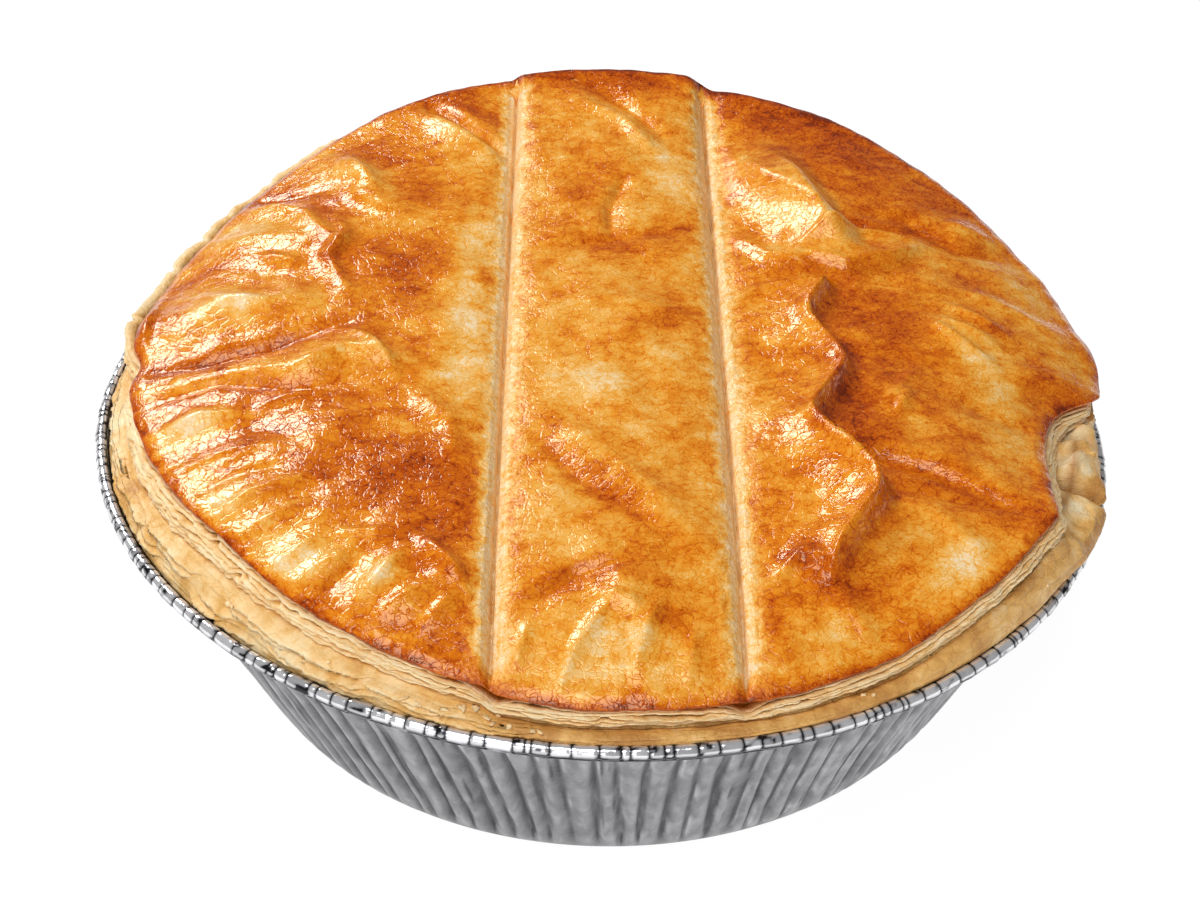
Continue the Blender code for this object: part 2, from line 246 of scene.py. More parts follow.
def pleat(bearing, height):
    """How far the pleated wall is pushed in or out, and its painted light: painted shade in its
    valleys and creases, and a painted highlight beside each of them.
    """
    drift = ripples(bearing, (0.3, 7.0, 21), (0.12, 2.5, 22))
    phase = PLEATS * (bearing + 180.0) / 360.0 + drift
    number = np.floor(phase).astype(int) % PLEATS
    across = phase - np.floor(phase) - 0.5 - pleat_lean[number] * (height - 15.0) / 14.0
    below_top = smooth((pleat_top[number] - height) / 7.0)
    fade = smooth((PLEATS_END - height) / 2.2) * smooth((height - PLEATS_START) / 3.0)
    valley = hump(across, 0.0, pleat_width[number] * (0.07 + 0.17 * below_top))
    push = 0.25 - pleat_depth[number] * valley * (0.35 + 0.65 * below_top)
    where = flat_spots(number * 7.3, height / 5.0)
    present = smooth(0.55 + 1.6 * lumps(where, 1.0, 23))
    painted_shade = hump(across, 0.0, 0.04) * present
    second = hump(across, pleat_second[number], 0.05)
    second = second * smooth(0.3 + 1.8 * lumps(where + 31.7, 1.0, 24))
    push -= 0.12 * second
    ridge = hump(across, 0.15, 0.09) * present
    lines = 0.26 + 0.8 * painted_shade + 0.3 * valley + 0.5 * second - 0.3 * ridge
    return push * fade, PLAIN_FACE + (np.clip(lines, 0.0, 1.0) - PLAIN_FACE) * fade


# Each crease of the rolled edge has a place, a depth and a reach, and each piece between two
# of them swells by an amount of its own
crease_rng = np.random.default_rng(8)
gaps = crease_rng.uniform(0.8, 3.0, 260)
crease_columns = np.rint(np.cumsum(gaps) / (2.0 * math.pi * RIM_RADIUS) * TIN_STEPS)
crease_places = crease_columns / TIN_STEPS * 360.0 - 180.0
crease_places = crease_places[crease_places < 179.6]
crease_depth = crease_rng.uniform(0.55, 1.0, len(crease_places))
crease_reach = crease_rng.uniform(-0.2, 1.2, len(crease_places))
segment_swell = crease_rng.uniform(-1.0, 1.0, len(crease_places) + 1)


def roll_crease(bearing, turn):
    """Depth of the creases across the rolled edge, 0 to 1, and each segment's own swelling."""
    after = np.searchsorted(crease_places, bearing)
    before = np.clip(after - 1, 0, len(crease_places) - 1)
    after = np.clip(after, 0, len(crease_places) - 1)
    total = np.zeros_like(bearing)
    for nearest in (before, after):
        away = (bearing - crease_places[nearest]) / 360.0 * 2.0 * math.pi * RIM_RADIUS
        part = smooth(1.7 - np.abs(turn / 100.0 - crease_reach[nearest]))
        line = hump(away, 0.0, CREASE_HALF_WIDTH)
        total = np.maximum(total, line * crease_depth[nearest] * part)
    seam = smooth((180.0 - np.abs(bearing)) / 0.6)
    swell = segment_swell[np.searchsorted(crease_places, bearing)] * seam
    return total * seam, swell


def tin_section():
    """The tin's rings: their radius and height, and their turn round the rolled edge."""
    span = np.subtract(WALL_HEAD, WALL_FOOT)
    up = np.linspace(0.0, 1.0, WALL_RINGS + 1)
    down = np.linspace(1.0, 0.0, INSIDE_RINGS)
    wall = [np.add(WALL_FOOT, span * share) for share in up]
    inside = [np.add(WALL_FOOT, span * share) - (FOIL, -INSIDE_LIFT) for share in down]
    roll = [
        (
            RIM_RADIUS - ROLL_RADIUS + ROLL_RADIUS * math.cos(math.radians(turn)),
            RIM_HEIGHT + ROLL_RADIUS * math.sin(math.radians(turn)),
        )
        for turn in ROLL_TURN
    ]
    parts = (
        ([*FOOT_RINGS, *wall, *FLANGE_UNDER], OFF_ROLL),
        (ROLL_LIP, LIP_TURN),
        (roll, ROLL_TURN),
        ([*FLANGE_OVER, *inside, *INNER_FLOOR], OFF_ROLL),
    )
    places = np.array([place for rings, _ in parts for place in rings])
    turns = np.concatenate([np.full(len(rings), turn, float) for rings, turn in parts])
    return places, turns


tin_places, tin_turns = tin_section()


def tin_surface(bearing, ring):
    """The whole tin: foot, wall, flange, rolled edge, and back down the inside."""
    radius, height = tin_places[ring].T
    turn = tin_turns[ring]
    rolled = (turn < OFF_ROLL).astype(float)
    on_roll = (turn > LIP_TURN) & (turn < OFF_ROLL)

    push, painted_shade = pleat(bearing, height)
    spots = ring_spots(bearing, radius, height)
    dents = rough(spots, (0.22, 11.0, 31), (0.07, 3.0, 32))
    on_wall = smooth((height - 1.0) / 4.0) * smooth((28.6 - height) / 3.0)
    radius = radius + (push + dents * on_wall) * (1.0 - rolled) * (radius > FLAT_FOOT)
    across, swell = roll_crease(bearing, turn)
    shrink = 1.0 + 0.07 * swell - 0.16 * across + 0.05 * ripple(bearing, 1.1, 33)
    middle = RIM_RADIUS - ROLL_RADIUS
    radius = np.where(on_roll, middle + (radius - middle) * shrink, radius)
    height = np.where(on_roll, RIM_HEIGHT + (height - RIM_HEIGHT) * shrink, height)
    wander = ripples(bearing, (0.12, 9.0, 34), (0.05, 2.4, 35))
    height = height + wander * smooth((height - 27.5) / 1.2)
    radius = radius - 0.1 * np.abs(ripple(bearing, 5.0, 36)) * rolled
    points = lean_with_tin(ring_spots(bearing, radius, height))

    # Painted shade and painted reflections on the rolled edge: dark underneath, at the flange, in
    # its creases and in patches of painted dark reflection, each segment painted a little lighter
    # or darker
    under = smooth((UNDER_TURN - turn) / 20.0)
    over = smooth((turn - OVER_TURN) / 22.0)
    patchiness = 0.5 + 0.5 * lumps(spots, (1.2, 1.2, 0.5), 37)
    dark_reflection_patches = 0.7 * smooth(4.0 * patchiness - 2.2) * smooth((turn + 20.0) / 40.0)
    roll_shade = (0.72 * under + 0.85 * over) * (0.8 + 0.4 * patchiness) + dark_reflection_patches
    roll_shade = np.clip(1.3 * across + (roll_shade + 0.34 + 0.26 * swell), 0.0, 1.0)
    return points, {"painted_shade": np.where(rolled > 0.5, roll_shade, painted_shade), "bright": rolled}


class Amount:
    """A value in a material, so that sums of values can be written out."""

    def __init__(self, finish, socket):
        self.finish = finish
        self.socket = socket

    def work(self, operation, *values):
        return self.finish.add("ShaderNodeMath", {"operation": operation}, dict(enumerate(values)))

    def __add__(self, other):
        return self.work("ADD", self, other)

    def __sub__(self, other):
        return self.work("SUBTRACT", self, other)

    def __rsub__(self, other):
        return self.work("SUBTRACT", other, self)

    def __mul__(self, other):
        return self.work("MULTIPLY", self, other)

    def __pow__(self, other):
        return self.work("POWER", self, other)

    def __abs__(self):
        return self.work("ABSOLUTE", self)

    __radd__ = __add__
    __rmul__ = __mul__

    def held(self):
        """The value, kept between 0 and 1."""
        settings = {"operation": "ADD", "use_clamp": True}
        return self.finish.add("ShaderNodeMath", settings, {0: self, 1: 0.0})


class Finish:
    """A material in the making."""

    def __init__(self, name, constants):
        self.material = bpy.data.materials.new(name)
        self.material.use_nodes = True
        self.tree = self.material.node_tree
        self.surface = self.tree.nodes["Principled BSDF"]
        for key, value in constants.items():
            self.surface.inputs[key].default_value = value

    def put(self, socket, value):
        """Set a socket, or link it to a value."""
        if isinstance(value, Amount):
            self.tree.links.new(value.socket, socket)
        else:
            socket.default_value = value

    def add(self, kind, settings, inputs, output=0):
        """Any node: its kind, its settings, its inputs and the output that is wanted."""
        node = self.tree.nodes.new(kind)
        for key, value in settings.items():
            if key != "stops":
                setattr(node, key, value)
        for number, (place, colour) in enumerate(settings.get("stops", ())):
            if number > 1:
                node.color_ramp.elements.new(place)
            node.color_ramp.elements[number].position = place
            node.color_ramp.elements[number].color = colour
        for key, value in inputs.items():
            self.put(node.inputs[key], value)
        return Amount(self, node.outputs[output])

    def carried(self, name):
        """A value that the mesh carries at its points."""
        return self.add("ShaderNodeAttribute", {"attribute_name": name}, {}, "Fac")

    def mottle(self, size, detail=2.0, twist=0.0, stretch=(1.0, 1.0, 1.0)):
        """Soft random values from 0 to 1 in patches of a size in millimetres."""
        place = self.add("ShaderNodeTexCoord", {}, {}, "Object")
        place = self.add("ShaderNodeMapping", {}, {"Vector": place, "Scale": stretch})
        inputs = {"Vector": place, "Scale": 1.0 / (size * MM), "Detail": detail}
        inputs["Distortion"] = twist
        return self.add("ShaderNodeTexNoise", {}, inputs, "Fac")

    def crackle(self, size, stretch=(1.0, 1.0, 1.0)):
        """Distance to the lines of a crackled surface, whose plates have a size in millimetres."""
        place = self.add("ShaderNodeTexCoord", {}, {}, "Object")
        swirl = self.add("ShaderNodeTexNoise", {}, {"Vector": place, "Scale": 900.0}, "Color")
        nudge = {"operation": "SCALE"}
        swirl = self.add("ShaderNodeVectorMath", nudge, {0: swirl, "Scale": 0.6 * size * MM})
        place = self.add("ShaderNodeVectorMath", {"operation": "ADD"}, {0: place, 1: swirl})
        place = self.add("ShaderNodeMapping", {}, {"Vector": place, "Scale": stretch})
        settings = {"feature": "DISTANCE_TO_EDGE"}
        inputs = {"Vector": place, "Scale": 1.0 / (size * MM)}
        return self.add("ShaderNodeTexVoronoi", settings, inputs, "Distance")

    def blend(self, share, first, second, way="MIX"):
        """A colour that is a share of the way from one colour to another."""
        settings = {"data_type": "RGBA", "blend_type": way}
        return self.add("ShaderNodeMix", settings, {0: share, 6: first, 7: second}, 2)

    def ramp(self, value, stops):
        """A colour read from a row of colours."""
        return self.add("ShaderNodeValToRGB", {"stops": stops}, {"Fac": value})

    def bump(self, height, depth):
        """Fine relief, of a depth in millimetres."""
        inputs = {"Height": height, "Strength": 1.0, "Distance": depth * MM}
        return self.add("ShaderNodeBump", {}, inputs, "Normal")

    def finish(self, **links):
        """Feed the surface's varying sockets, and give the material."""
        for key, value in links.items():
            self.put(self.surface.inputs[key.replace("_", " ")], value)
        return self.material


tin = wrapped("pressed_foil_tin", TIN_STEPS, len(tin_places), tin_surface)

# The foil's colour is painted light: the wall has the painted highlights and shade of its pleats,
# with vertical streaks, and the bead has a painted bright reflection, made partly diffuse by its
# lower metal share, with painted shade where the mesh says so
foil = Finish("pressed_foil", {})
bright = foil.carried("bright")
painted_shade = foil.carried("painted_shade")
handling = foil.mottle(6.0, 3.0)
streak = foil.mottle(1.6, 3.0, 0.4, (1.0, 1.0, 0.25))
pleated = foil.ramp((painted_shade + (streak - 0.5) * 0.5).held(), FOIL_STOPS)
rolled = foil.blend((painted_shade**2.4 * 1.2).held(), FOIL_BRIGHT, FOIL_ROLL_SHADE)
foil_colour = foil.blend(bright, pleated, rolled)
foil_rough = 0.38 - bright * 0.26 + (handling - 0.5) * 0.1
grit = foil.bump(foil.mottle(0.5, 3.0) * (1.0 - bright * 0.7), 0.05)
foil_metal = 1.0 - bright * 0.4
pressed_foil = foil.finish(
    Base_Color=foil_colour,
    Metallic=foil_metal,
    Roughness=foil_rough,
    Normal=grit,
)
tin.data.materials.append(pressed_foil)
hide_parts("foil_tin")
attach(tin, "root")

# ---------------------------------------------------------------------------------------------
# Base crust. A pastry case fills the tin and comes up over its rim as a pale, unglazed band.
# It is one baked piece with its filling: flaky ledges at the left, smoother at the front right,
# and torn open in the notch at the right, where two tabs of it lean out.
# ---------------------------------------------------------------------------------------------

PIE_X = 1.2
GAP = 0.3
# The lid's browned edge: bearing, radius, and height over the rim
LID_EDGE = (
    (-180, 61.0, 17.4), (-155, 60.6, 16.5), (-130, 60.0, 11.4), (-108, 59.6, 8.7),
    (-86, 59.1, 9.1), (-70, 57.6, 8.2), (-52, 56.8, 9.3), (-30, 58.1, 7.3), (-8, 59.0, 4.4),
    (28, 58.9, 4.0), (46, 58.7, 6.5), (61, 58.6, 7.2), (94, 60.8, 4.1), (115, 60.6, 6.5),
    (135, 60.4, 11.2), (157, 60.8, 15.6),
)
EDGE_THICKNESS = ((-90, 3.8), (0, 2.2), (90, 3.6), (180, 9.5))
LID_THICKNESS = 4.5
LAYER_BULGE = 0.7
LAYER_RADIUS = 59.8
LAYER_PULL = 0.75
PLATE_HEIGHT = 12.0
PLATE_RISE = 0.0625
PLATE_LEAN = -0.024
PLATE_BOW = 0.00077
UNDERSIDE_POWER = 3
# The score grooves, left and right: their x at the middle, and how they slant
GROOVES = {-1: (-12.1, 0.0), 1: (14.6, -0.014)}
# Steps up to the side panels: groove, height, its change from front to back, and softness
PANEL_STEPS = ((-1, 0.05, -0.95, 2.0), (1, -1.15, -0.85, 4.5))
STEP_REACH = 15.0
# How far the notch is cut in, at each bearing
NOTCH_CUT = (
    (60.0, 0.0), (61.8, 0.7), (63.8, 2.0), (66.2, 3.3), (69.1, 4.6), (72.0, 5.6),
    (76.0, 6.5), (79.5, 6.8), (82.0, 6.5), (83.7, 6.0), (85.1, 5.2), (86.5, 4.1),
    (87.6, 2.8), (88.7, 1.4), (90.2, 0.3), (92.0, 0.0),
)
NOTCH_DEPTH = 6.6
LIP_BEARING = -96.0
LIP_WIDTH = 6.0
LIP_RISE = 1.0
LOBE_BEARING = 96.5
LOBE_WIDTH = 5.0
LOBE_OUT = 0.6
DROOP_BEARING = 92.5
DROOP_WIDTH = 4.0
LOBE_DROOP = 1.2
NICK_BEARING = -88.0
NICK_WIDTH = 3.0
NICK_DEPTH = 1.4
# Radius of the case's pale band, half way down, at each bearing
CASE_BAND = (
    (-180, 61.2), (-140, 61.3), (-100, 61.1), (-75, 60.9), (-50, 60.8), (-20, 60.6),
    (20, 60.6), (45, 60.5), (57, 61.1), (66, 61.6), (73, 61.2), (80, 60.0), (88, 60.0),
    (96, 60.3), (115, 60.8), (145, 61.1),
)
BAND_FOOT = (60.3, 29.95)
BAND_CLEAR = 1.5
BAND_LIFT = 0.3
SHOULDER_OUT = 0.4
OVERHANG = 1.0
SHELF_RADIUS = 59.6
SHELF_HEIGHT = 3.2
# Stretches round the pie: where each starts and ends, and how soft its ends are
FRONT_OVERHANG = (-15.0, 58.0, 20.0)
FULL_FRONT = (-25.0, 30.0, 30.0)
FOOT_OUT = (-20.0, 110.0, 40.0)
FOOT_DRAWN_IN = (30.0, 62.0, 12.0)
BROWNER_FRONT = (-20.0, 95.0, 30.0)
# In the notch: two torn tabs, the parts of them that lean out, the crust under the lid's lobe,
# and a painted shadow line behind the tabs
FRONT_TAB = (61.0, 72.8, 2.2)
BACK_TAB = (74.2, 82.4, 1.4)
LEANING_TABS = ((61.5, 72.6, 2.0), (74.2, 77.0, 1.5))
UNDER_LOBE = (86.0, 92.5, 1.5)
SHADOW_LINE = (62.0, 85.0, 3.0)
TAB_LEAN = 0.3
CRACK_BEARING = 73.5
# Its pit and its painted shadow line: the middle and the half width of a bearing or of a radius
PIT_BEARING = (84.3, 0.9)
PIT_RADIUS = (58.6, 1.2)
SHADOW_LINE_RADIUS = (57.1, 0.6)
CASE_STEPS = 1200
UNDER_RINGS = (0.0, 0.45, 0.75, 0.92, 1.0)
SHELF_RINGS = 12
BAND_RINGS = 38
BAND_START = len(UNDER_RINGS) + SHELF_RINGS
SEAT_START = BAND_START + BAND_RINGS
# The hidden faces inside the tin, as radius and height
SEAT = ((58.1, 29.6), (54.0, 20.6), (49.8, 11.6), (45.6, 2.6), (43.0, 0.7), (0.0, 0.7))
# Shares of the way down the band at which its ledges start
LEDGES = (-0.02, 0.2, 0.38, 0.56, 0.73, 0.88, 1.04)
# How flaky the band is, at each bearing
FLAKY = (
    (-180, 0.6), (-130, 0.6), (-90, 0.75), (-60, 1.0), (-20, 0.85), (0, 0.3), (20, 0.15),
    (50, 0.2), (75, 0.3), (100, 0.5), (140, 0.6),
)


def shade(*levels):
    """A colour from its red, green and blue on the usual scale of 0 to 255."""
    parts = [level / 255.0 for level in levels]
    linear = [
        part / 12.92 if part <= 0.04045 else ((part + 0.055) / 1.055) ** 2.4 for part in parts
    ]
    return (*linear, 1.0)


def through(rows, at):
    """Smooth values through rows of (place, value), of which the first and last only steer."""
    rows = np.array(rows, float)
    last = np.clip(np.searchsorted(rows[:, 0], at, side="right") - 1, 1, len(rows) - 3)
    before, start, end, after = (rows[last + step].T for step in (-1, 0, 1, 2))
    span = end[0] - start[0]
    share = (at - start[0]) / span
    leaving = (end[1] - before[1]) / (end[0] - before[0]) * span
    arriving = (after[1] - start[1]) / (after[0] - start[0]) * span
    drop = start[1] - end[1]
    cubic = 2.0 * drop + leaving + arriving
    square = -3.0 * drop - 2.0 * leaving - arriving
    return start[1] + share * (leaving + share * (square + share * cubic))


def around(table, bearing, column=1):
    """Smooth values of one column of a table of bearings that goes once round the pie."""
    rows = sorted((row[0], row[column]) for row in table)
    before = [(at - 360, value) for at, value in rows[-2:]]
    after = [(at + 360, value) for at, value in rows[:2]]
    return through(before + rows + after, bearing)


def pie_spots(bearing, radius, height):
    """Points at bearings round the middle of the pie."""
    return ring_spots(bearing, radius, height) + (PIE_X, 0.0, 0.0)


def pie_bearing(x, y):
    """Bearing of places round the middle of the pie."""
    return np.degrees(np.arctan2(x - PIE_X, -y))


def groove_x(side, y):
    """Where a score groove runs: the left one for -1, the right one for 1."""
    middle, slant = GROOVES[side]
    return middle + slant * y


def past_groove(side, x, y):
    """Distance beyond a score groove, away from the middle panel."""
    return side * (x - groove_x(side, y))


def groove_distance(x, y):
    """Distance from the nearer score groove."""
    return np.minimum(np.abs(past_groove(-1, x, y)), np.abs(past_groove(1, x, y)))


def panel_step(x, y):
    """Height of the lid's side panels over the middle one."""
    total = 0.0
    for side, height, slope, soft in PANEL_STEPS:
        past = past_groove(side, x, y)
        step = (height + slope * (y / RIM_RADIUS)) * smooth(0.5 + past / soft)
        total = total + step * np.exp(-np.maximum(0.0, past) / STEP_REACH)
    return total


def notch(bearing):
    """How far the lid's edge is drawn in at the notch, as a share of its depth."""
    places, depths = np.transpose(NOTCH_CUT)
    return np.interp(bearing, places, depths) / depths.max()


def edge_radius(bearing):
    """Radius of the lid's browned edge, a little ragged."""
    radius = around(LID_EDGE, bearing) - NOTCH_DEPTH * notch(bearing)
    radius += ripples(bearing, (0.22, 6.0, 41), (0.1, 1.8, 42))
    radius += LOBE_OUT * hump(bearing, LOBE_BEARING, LOBE_WIDTH)
    return radius - NICK_DEPTH * hump(bearing, NICK_BEARING, NICK_WIDTH)


def edge_height(bearing):
    """Height of the lid's browned edge."""
    spots = pie_spots(bearing, edge_radius(bearing), 0.0)
    step = panel_step(spots[:, 0], spots[:, 1])
    lip = LIP_RISE * hump(bearing, LIP_BEARING, LIP_WIDTH)
    wave = ripples(bearing, (0.2, 7.0, 43), (0.08, 2.2, 44))
    droop = LOBE_DROOP * hump(bearing, DROOP_BEARING, DROOP_WIDTH)
    return RIM_HEIGHT + around(LID_EDGE, bearing, 2) + step + lip - droop + wave


def layer_radius(bearing):
    """Radius of the lid's lowest layer."""
    return edge_radius(bearing) + LAYER_PULL * (LAYER_RADIUS - around(LID_EDGE, bearing))


def lid_underside(clearance, share, bearing):
    """Radius and height of the lid's lower face, or of the case that much under it."""
    edge = edge_height(bearing) - around(EDGE_THICKNESS, bearing)
    radius = layer_radius(bearing) * share
    spots = pie_spots(bearing, radius, 0.0)
    x, y = spots[:, 0], spots[:, 1]
    inner = RIM_HEIGHT + PLATE_HEIGHT - LID_THICKNESS
    inner = inner + PLATE_RISE * y + PLATE_LEAN * x - PLATE_BOW * x * x
    return radius, inner + (edge - inner) * share**UNDERSIDE_POWER - clearance


def flat_top(value, start, end, soft):
    """1 between two places, with soft sides."""
    return smooth((value - start) / soft + 0.5) * smooth((end - value) / soft + 0.5)


def pit(bearing, radius):
    """The sunken spot behind the tabs in the notch; it is also painted dark, as shade."""
    return hump(bearing, *PIT_BEARING) * hump(radius, *PIT_RADIUS)


def torn_case(bearing, radius):
    """Rise of the case in the notch: two tabs, the crack between them and a pit behind."""
    wobble = 0.5 * ripple(bearing, 3.0, 51)
    spots = ring_spots(bearing, radius, 0.0)
    back = flat_top(bearing, *BACK_TAB) * hump(radius, 57.6 + wobble, 2.9)
    front = flat_top(bearing, *FRONT_TAB) * hump(radius, 60.4, 2.6)
    behind = flat_top(bearing, *UNDER_LOBE) * hump(radius, 58.6, 2.0)
    crack = hump(bearing, CRACK_BEARING + 0.12 * (radius - 59.0), 0.75)
    fold = hump(bearing, 80.5 + 0.7 * (radius - 58.0), 0.8) * flat_top(radius, 55.5, 61.5, 1.0)
    flap = hump(bearing, 77.0 - 0.5 * (radius - 58.0), 1.1) * flat_top(radius, 56.5, 62.5, 1.0)
    torn = 0.6 * lumps(spots, 2.2, 75) - 0.8 * np.abs(lumps(spots, 1.5, 76))
    torn += 0.3 * np.tanh(6.0 * lumps(spots, (3.2, 3.2, 1.0), 79))
    rise = 1.8 * back + 0.5 * front + 0.9 * behind - 3.2 * crack - 2.6 * pit(bearing, radius)
    return rise - 0.7 * fold + 0.35 * flap + torn * (back + 0.5 * front + 0.6 * behind)


def shelved(bearing):
    """How much of a flat shelf the case has in place of its rounded shoulder, at the notch."""
    return np.minimum(1.0, 2.0 * notch(bearing))


def case_form(bearing, ring):
    """Radius and height of the plain case, and how far over its shelf and down its band it is."""
    under = np.array(UNDER_RINGS)[np.clip(ring, 0, len(UNDER_RINGS) - 1)]
    under_radius, under_height = lid_underside(GAP, under, bearing)

    shelf_share = shelved(bearing)
    _, top = lid_underside(2.0 * GAP, 1.0, bearing)
    rim = RIM_HEIGHT + RIM_LEAN * pie_spots(bearing, SHELF_RADIUS, 0.0)[:, 0]
    overhang = OVERHANG * flat_top(bearing, *FRONT_OVERHANG)
    shoulder_radius = layer_radius(bearing) + SHOULDER_OUT - overhang
    shoulder_radius += (SHELF_RADIUS - shoulder_radius) * shelf_share
    shoulder = top + (np.minimum(top, rim + SHELF_HEIGHT) - top) * shelf_share
    shelf = np.clip((ring - len(UNDER_RINGS) + 1) / SHELF_RINGS, 0.0, 1.0)
    shelf_radius = under_radius + (shoulder_radius - under_radius) * shelf
    shelf_height = under_height + (shoulder - under_height) * shelf

    band_radius = around(CASE_BAND, bearing) + 0.4 * flat_top(bearing, *FULL_FRONT)
    lowest = rim + BAND_CLEAR
    band_height = lowest + BAND_LIFT * np.maximum(0.0, shoulder - lowest)
    foot_out = 0.5 + 0.16 * flat_top(bearing, *FOOT_OUT)
    foot_out -= 0.1 * flat_top(bearing, *FOOT_DRAWN_IN)
    foot_spots = lean_with_tin(ring_spots(bearing, BAND_FOOT[0] + foot_out, BAND_FOOT[1]))
    foot_radius = np.hypot(foot_spots[:, 0] - PIE_X, foot_spots[:, 1])
    foot_height = foot_spots[:, 2]
    down = np.clip((ring - BAND_START + 1) / BAND_RINGS, 0.0, 1.0)
    pull_radius = 2.0 * band_radius - (shoulder_radius + foot_radius) / 2.0
    pull_height = 2.0 * band_height - (shoulder + foot_height) / 2.0
    first, middle, last = (1.0 - down) ** 2, 2.0 * down * (1.0 - down), down**2
    radius = first * shoulder_radius + middle * pull_radius + last * foot_radius
    height = first * shoulder + middle * pull_height + last * foot_height

    where = (ring < len(UNDER_RINGS), ring < BAND_START)
    radius = np.select(where, (under_radius, shelf_radius), radius)
    height = np.select(where, (under_height, shelf_height), height)
    return radius, height, shelf, down


def case_ledges(bearing, down, flaky):
    """Ledges down the band: their strength, the share of the way to the edge of each, and which."""
    wander = ripples(bearing, (0.1, 12.0, 52), (0.025, 2.6, 53), (0.015, 0.9, 54))
    along = down + wander * smooth(down * (1.0 - down) * 8.0)
    edges = np.array(LEDGES)
    step = np.clip(np.searchsorted(edges, along, side="right") - 1, 0, len(edges) - 2)
    share = np.clip((along - edges[step]) / (edges[step + 1] - edges[step]), 0.0, 1.0)
    present = np.stack([ripple(bearing, 9.0, 60 + number) for number in range(len(edges) - 1)])
    strength = smooth(0.45 + 2.6 * present[step, np.arange(len(bearing))]) * flaky
    return strength, share, step


def case_surface(bearing, ring):
    """The case: under the lid, over its shoulder, down its band, and down inside the tin."""
    radius, height, shelf, down = case_form(bearing, ring)
    on_shelf = (ring >= len(UNDER_RINGS)) & (ring < BAND_START)
    in_band = (ring >= BAND_START) & (ring < SEAT_START)
    visible = (on_shelf | in_band) * smooth(down * 12.0) * smooth((1.0 - down) * 9.0)
    spots = pie_spots(bearing, radius, height)

    # Ledges with edges that are bitten away, and leaves, grain and fine cracks on them
    flaky = around(FLAKY, bearing)
    strength, share, step = case_ledges(bearing, down, flaky)
    ledge = strength * share**1.6 * smooth((1.0 - share) / 0.06) * visible
    veins = np.abs(lumps(spots, (2.1, 2.1, 2.9), 55))
    cracks = np.clip(1.0 - veins / 0.07, 0.0, 1.0) * smooth(0.6 + lumps(spots, 5.0, 56))
    long_way = ring_spots(bearing, 60.0, down * 60.0)
    leaves = np.tanh(2.5 * lumps(long_way, (7.0, 7.0, 6.0), 77))
    grain = rough(spots, (0.07, 3.4, 57), (0.04, 1.3, 58), (0.03, 0.6, 59))
    grain += 0.09 * leaves * (0.3 + flaky)
    out = ledge * (1.1 - 0.6 * smooth((down - 0.66) / 0.25))
    out += (grain * (0.5 + 0.8 * flaky) - 0.05 * cracks * (0.3 + flaky)) * visible
    bites = ripples(bearing, (1.0, 4.5, 71), (0.5, 1.6, 72))
    bitten = smooth(2.2 * bites - 0.7) * np.clip(flaky - 0.15, 0.0, 1.0)
    out = out - 1.7 * bitten * smooth((down - 0.72) / 0.2) * in_band

    # The torn crust in the notch, whose tabs lean out over the rim
    torn = notch(bearing) > 0.02
    exposed = np.where(on_shelf, shelved(bearing), 1.0) * (on_shelf | in_band)
    share_up = np.where(on_shelf, smooth(shelf * 3.0), 1.0 - smooth(down / 0.75))
    lift = torn_case(bearing, radius) * share_up
    tabs = sum(TAB_LEAN * flat_top(bearing, *tab) for tab in LEANING_TABS)
    crack = hump(bearing, CRACK_BEARING, 0.6)
    tab_out = (tabs - 1.9 * crack) * smooth(down * 6.0) * smooth((0.95 - down) / 0.4)
    height = height + lift * torn * exposed - 0.3 * ledge
    radius = radius + out + tab_out * torn * in_band
    points = pie_spots(bearing, radius, height)

    seat = np.array(SEAT)[np.clip(ring - SEAT_START, 0, len(SEAT) - 1)]
    seat_points = lean_with_tin(ring_spots(bearing, seat[:, 0], seat[:, 1]))
    points = np.where((ring >= SEAT_START)[:, None], seat_points, points)

    # Painted shade: darker in its cracks, under its ledges, in the notch's pit and along its shadow
    # line, and at its foot by the rim
    under_ledge = strength * np.exp(-share / 0.14) * (step > 0) * visible
    recess_shade = np.clip(0.4 * under_ledge + 0.08 * cracks * visible, 0.0, 1.0)
    shadow_line = 0.9 * flat_top(bearing, *SHADOW_LINE) * hump(radius, *SHADOW_LINE_RADIUS) * on_shelf
    for torn_place in (crack, pit(bearing, radius), shadow_line):
        recess_shade = np.maximum(recess_shade, torn_place * torn)
    recess_shade = np.maximum(recess_shade, 0.5 * smooth((down - 0.94) / 0.06) * in_band)

    # Baked unevenly: pale in the notch and browner at the front; the edges of the ledges are
    # painted paler, as a painted highlight
    bake = 0.42 + 0.4 * lumps(spots, 6.0, 73) + 0.2 * lumps(spots, 1.8, 74) - 0.4 * ledge * share
    sheltered = 0.5 * smooth((61.0 - radius) / 2.5) * torn
    bake += 0.36 * flat_top(bearing, *BROWNER_FRONT) - sheltered
    bake += 0.5 * hump(bearing, 75.6, 1.3) * smooth((radius - 58.5) / 2.0) * torn
    bake += 0.2 * np.tanh(4.0 * lumps(spots, 2.0, 78)) * torn
    return points, {"recess_shade": recess_shade, "bake": np.clip(bake, 0.0, 1.0)}


case = wrapped("base_crust", CASE_STEPS, SEAT_START + len(SEAT), case_surface)

# Unglazed pastry, from pale to well baked
PALE_STOPS = (
    (0.0, shade(253, 231, 186)),
    (0.35, shade(247, 208, 146)),
    (0.65, shade(232, 180, 102)),
    (1.0, shade(202, 144, 74)),
)
# Painted shade for its cracks and recesses, and its toasted colour
PALE_SHADE = shade(166, 108, 48)
PALE_TOASTED = shade(178, 88, 26)


